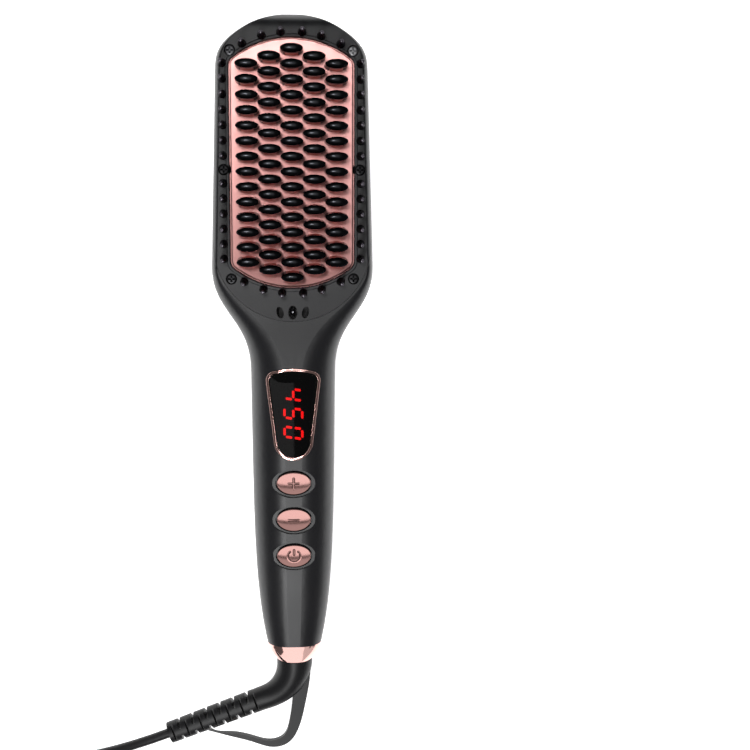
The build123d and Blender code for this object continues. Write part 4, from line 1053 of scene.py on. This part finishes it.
@dataclass
class Cord:
    """The cord: down from the strain relief, round its coil and on to the plug."""

    diameter: float = 4.0 * MM
    length: float = 1.8
    turns: float = 11.5
    layers: int = 4
    pitch: float = 4.6 * MM
    rise: float = 4.55 * MM
    climb_turns: float = 0.5
    points_per_turn: int = 16
    curve_order: int = 3
    curve_steps: int = 4
    round_steps: int = 4
    # The route's points, runs, level and side step are in millimetres.
    lead: tuple[Point, ...] = ((-52.113, -161.231, 13.5), (-68.047, -167.156, 13.5),
                               (-97.102, -177.962, 2.05), (-121.102, -177.962, 2.05))
    tail_runs: tuple[float, ...] = (14.0, 26.0, 14.0)
    lead_runs: tuple[float, ...] = (17.0, 31.0, 24.0)
    plug_level: float = 7.05
    plug_aside: float = 8.0

    def middle_radius(self) -> float:
        """Middle radius of the coil, so that the whole cord has its length."""
        straight = (sum(self.lead_runs) + sum(self.tail_runs)) * MM + 2 * self.diameter
        return (self.length - straight) / (2 * math.pi * self.turns)

    def coil_points(self) -> list[Vector]:
        """Work out the coil's control points.

        Returns:
            Points of rings that spiral in and out and climb a layer where they reverse.
        """
        layer_turns = self.turns / self.layers
        reach = self.pitch * layer_turns
        middle = self.middle_radius()
        end = Vector(self.lead[-1]) * MM
        centre = Vector((end.x - self.diameter, end.y - middle - reach / 2, end.z))
        outside = 1 / math.cos(math.pi / self.points_per_turn)
        points = []
        for step in range(round(self.turns * self.points_per_turn) + 1):
            turn = step / self.points_per_turn
            inward = 1 - abs((turn / layer_turns) % 2 - 1)
            radius = (middle + reach / 2 - reach * inward) * outside
            climbs = sum(self.ease((turn - layer * layer_turns) / self.climb_turns + 0.5)
                         for layer in range(1, self.layers))
            angle = math.pi / 2 + 2 * math.pi * turn
            points.append(centre + Vector((radius * math.cos(angle), radius * math.sin(angle),
                                           self.rise * climbs)))
        points[0].y = end.y
        points[-1].y = centre.y - middle - reach / 2
        return points

    @staticmethod
    def ease(share: float) -> float:
        """Ease from 0 to 1 along a smooth step."""
        share = min(max(share, 0.0), 1.0)
        return share * share * (3 - 2 * share)

    def route(self) -> list[Vector]:
        """Lay the whole cord's route.

        Returns:
            Its control points, from the strain relief to the plug.
        """
        points = [Vector(point) * MM for point in self.lead]
        points += self.coil_points()
        first, second, third = (run * MM for run in self.tail_runs)
        start = points[-1] + Vector((self.diameter, 0, 0))
        level = self.plug_level * MM
        plug_y = start.y + self.plug_aside * MM
        points += [start, start + Vector((first, 0, 0)),
                   Vector((start.x + first + second, plug_y, level)),
                   Vector((start.x + first + second + third, plug_y, level))]
        return points

    def build(self) -> bpy.types.Object:
        """Returns:
            The cord.
        """
        points = self.route()
        line = bpy.data.curves.new("mains_cord", "CURVE")
        line.dimensions = "3D"
        spline = line.splines.new("NURBS")
        spline.points.add(len(points) - 1)
        for control, place in zip(spline.points, points):
            control.co = (*place, 1.0)
        spline.order_u = self.curve_order
        spline.use_endpoint_u = True
        line.resolution_u = self.curve_steps
        line.bevel_depth = self.diameter / 2
        line.bevel_resolution = self.round_steps
        line.use_fill_caps = True
        line.materials.append(RUBBER.material())
        cord = placed("mains_cord", line)
        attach(cord, Body.SWIVEL.value)
        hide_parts("cord_lead", "cord_coil", "cord_tail")
        LOG.info("mains_cord: %d points", len(points))
        return cord


@dataclass(frozen=True)
class Lamp:
    """A soft rectangular lamp for all pieces, for only some, or for all but some.

    Its places and sides are in millimetres, and it faces straight down where it has no aim.
    """

    name: str
    place: Point
    size: tuple[float, float]
    radiance: float
    aim: Point | None = None
    only: tuple[str, ...] = ()
    spared: tuple[str, ...] = ()

    def build(self) -> None:
        """Hang the lamp, turned to what it lights."""
        data = bpy.data.lights.new(self.name, "AREA")
        data.shape = "RECTANGLE"
        data.size, data.size_y = (side * MM for side in self.size)
        data.energy = self.radiance * math.pi * data.size * data.size_y
        lamp = placed(self.name, data)
        place = Vector(self.place) * MM
        aim = Vector(self.aim or (*self.place[:2], 0.0)) * MM
        lamp.location = place
        lamp.rotation_mode = "QUATERNION"
        lamp.rotation_quaternion = (aim - place).to_track_quat("-Z", "Y")
        lamp.visible_camera = False
        if self.only or self.spared:
            pieces = bpy.data.collections.new(self.name + "_pieces")
            for name in self.only + self.spared:
                pieces.objects.link(bpy.data.objects[name])
            lamp.light_linking.receiver_collection = pieces
            for member in pieces.collection_objects if self.spared else ():
                member.light_linking.link_state = "EXCLUDE"


# Where the middle of each key lies along Y, in millimetres.
KEY_ROWS = {"plus_cap": -52.4, "minus_cap": -67.45, "power_cap": -82.5}
MIRRORS = (*KEY_ROWS, "window_lens", "bright_collar")
SCREWS = ("frame_screws", "left_tip_screw", "right_tip_screw")
BLACKS = SCREWS + ("front_casing", "rear_casing", "head_frame", "tooth_caps", "guard_nubs", "cord_guard")
COLLAR = ("bright_collar",)
LAMPS = (
    Lamp("handle_strip", (-72.0, -345.0, 600.0), (110.0, 570.0), 14.0,
         spared=MIRRORS + ("hot_plate", "tooth_caps")),
    Lamp("head_fill", (-60.0, 150.0, 600.0), (300.0, 400.0), 0.8, spared=MIRRORS + ("hot_plate",)),
    Lamp("top_softbox", (0.0, 420.0, 640.0), (620.0, 420.0), 4.2, aim=(0.0, 80.0, 20.0),
         spared=MIRRORS + BLACKS),
    Lamp("spark", (-60.0, 150.0, 700.0), (60.0, 60.0), 40.0, aim=(0.0, 80.0, 20.0), spared=MIRRORS + SCREWS),
    Lamp("left_rim", (-620.0, 0.0, 160.0), (900.0, 160.0), 0.15, aim=(0.0, 0.0, 10.0), spared=MIRRORS),
    Lamp("window_card", (-450.0, -160.0, 556.0), (900.0, 280.0), 0.42, only=("window_lens",)),
    Lamp("fin_card", (0.0, -150.0, 600.0), (700.0, 300.0), 6.0, only=("hot_fins",)),
    Lamp("collar_sky", (-90.0, -450.0, 554.0), (660.0, 500.0), 1.15, only=COLLAR),
    Lamp("collar_wall", (-90.0, -700.0, 277.0), (660.0, 554.0), 1.15, aim=(-90.0, 0.0, 277.0), only=COLLAR),
    Lamp("collar_side_sky", (465.0, -450.0, 554.0), (450.0, 500.0), 0.6, only=COLLAR),
    Lamp("collar_side_back", (690.0, -700.0, 277.0), (900.0, 554.0), 0.6, aim=(690.0, 0.0, 277.0),
         only=COLLAR),
) + tuple(
    Lamp(f"{cap}_{part}", (0.0, row + offset, 556.0), (900.0, height), radiance, only=(cap,))
    for cap, row in KEY_ROWS.items()
    for part, offset, height, radiance in (("sky", -18.0, 260.0, 1.0), ("ground", -460.0, 500.0, 0.38))
)


@dataclass
class Studio:
    """Pale table, soft lamps and the camera."""

    eye: Point = (0.3 * MM, 68.0 * MM, 554.0 * MM)
    aim: Point = (33.117 * MM, -10.656 * MM, 14.0 * MM)
    roll_degrees: float = 0.1947
    lens: float = 64.73
    sensor: float = 36.0
    clip: tuple[float, float] = (0.01, 20.0)
    table_half: float = 3.0
    table_drop: float = 0.02 * MM
    table_lift: float = 0.8
    paper_white: float = 0.9
    paper_rough: float = 0.9
    paper_specular: float = 0.1
    surround: float = 0.1

    def camera(self) -> None:
        """Place the camera as the photograph's was."""
        data = bpy.data.cameras.new("camera")
        data.lens = self.lens
        data.sensor_width = self.sensor
        data.clip_start, data.clip_end = self.clip
        camera = placed("camera", data)
        eye = Vector(self.eye)
        forward = (Vector(self.aim) - eye).normalized()
        right = forward.cross(Vector((0, 1, 0))).normalized()
        turn = Matrix((right, right.cross(forward), -forward)).transposed().to_4x4()
        roll = Matrix.Rotation(math.radians(self.roll_degrees), 4, "Z")
        camera.matrix_world = Matrix.Translation(eye) @ turn @ roll
        bpy.context.scene.camera = camera

    def table(self) -> None:
        """Lay the pale table: white to the eye and in reflections, and it keeps the brush's shadow."""
        half = self.table_half
        mesh = bpy.data.meshes.new("table")
        corners = [(-half, -half, 0), (half, -half, 0), (half, half, 0), (-half, half, 0)]
        mesh.from_pydata(corners, [], [(0, 1, 2, 3)])
        table = placed("table", mesh)
        table.location.z = -self.table_drop
        material = bpy.data.materials.new("table_paper")
        material.use_nodes = True
        kit = NodeKit(material.node_tree)
        shader = material.node_tree.nodes["Principled BSDF"]
        kit.fill(shader, {"Base Color": (*(self.paper_white,) * 3, 1.0), "Roughness": self.paper_rough,
                          "Specular IOR Level": self.paper_specular, "Emission Color": (1.0,) * 4})
        kit.join(kit.math("MULTIPLY", self.seen(kit), self.table_lift), shader.inputs["Emission Strength"])
        mesh.materials.append(material)

    @staticmethod
    def seen(kit: NodeKit) -> bpy.types.NodeSocket:
        """Tell rays from the eye, off gloss and through glass from the others.

        Args:
            kit: the material's node kit.

        Returns:
            The socket that holds the mask.
        """
        path = kit.add("ShaderNodeLightPath")
        either = kit.math("MAXIMUM", path.outputs["Is Camera Ray"], path.outputs["Is Glossy Ray"])
        return kit.math("MAXIMUM", either, path.outputs["Is Transmission Ray"])

    def world(self) -> None:
        """Surround the brush with plain soft light."""
        world = bpy.data.worlds.new("studio")
        world.use_nodes = True
        backdrop = world.node_tree.nodes["Background"]
        NodeKit.fill(backdrop, {"Color": (1, 1, 1, 1), "Strength": self.surround})
        bpy.context.scene.world = world

    def build(self) -> None:
        """Set up the whole studio."""
        self.table()
        for lamp in LAMPS:
            lamp.build()
        self.world()
        bpy.context.scene.view_settings.view_transform = "Standard"


def main() -> None:
    """Load the frame and dress it."""
    logging.basicConfig(level=logging.INFO, format="%(name)s %(message)s")
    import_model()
    studio = Studio()
    studio.camera()
    for part in (Casing(), Screws(), HotPlate(), Nubs(), Display(), Keys(), TailEnd(), Cord(), Inside()):
        part.build()
    studio.build()


if __name__ == "__main__":
    main()
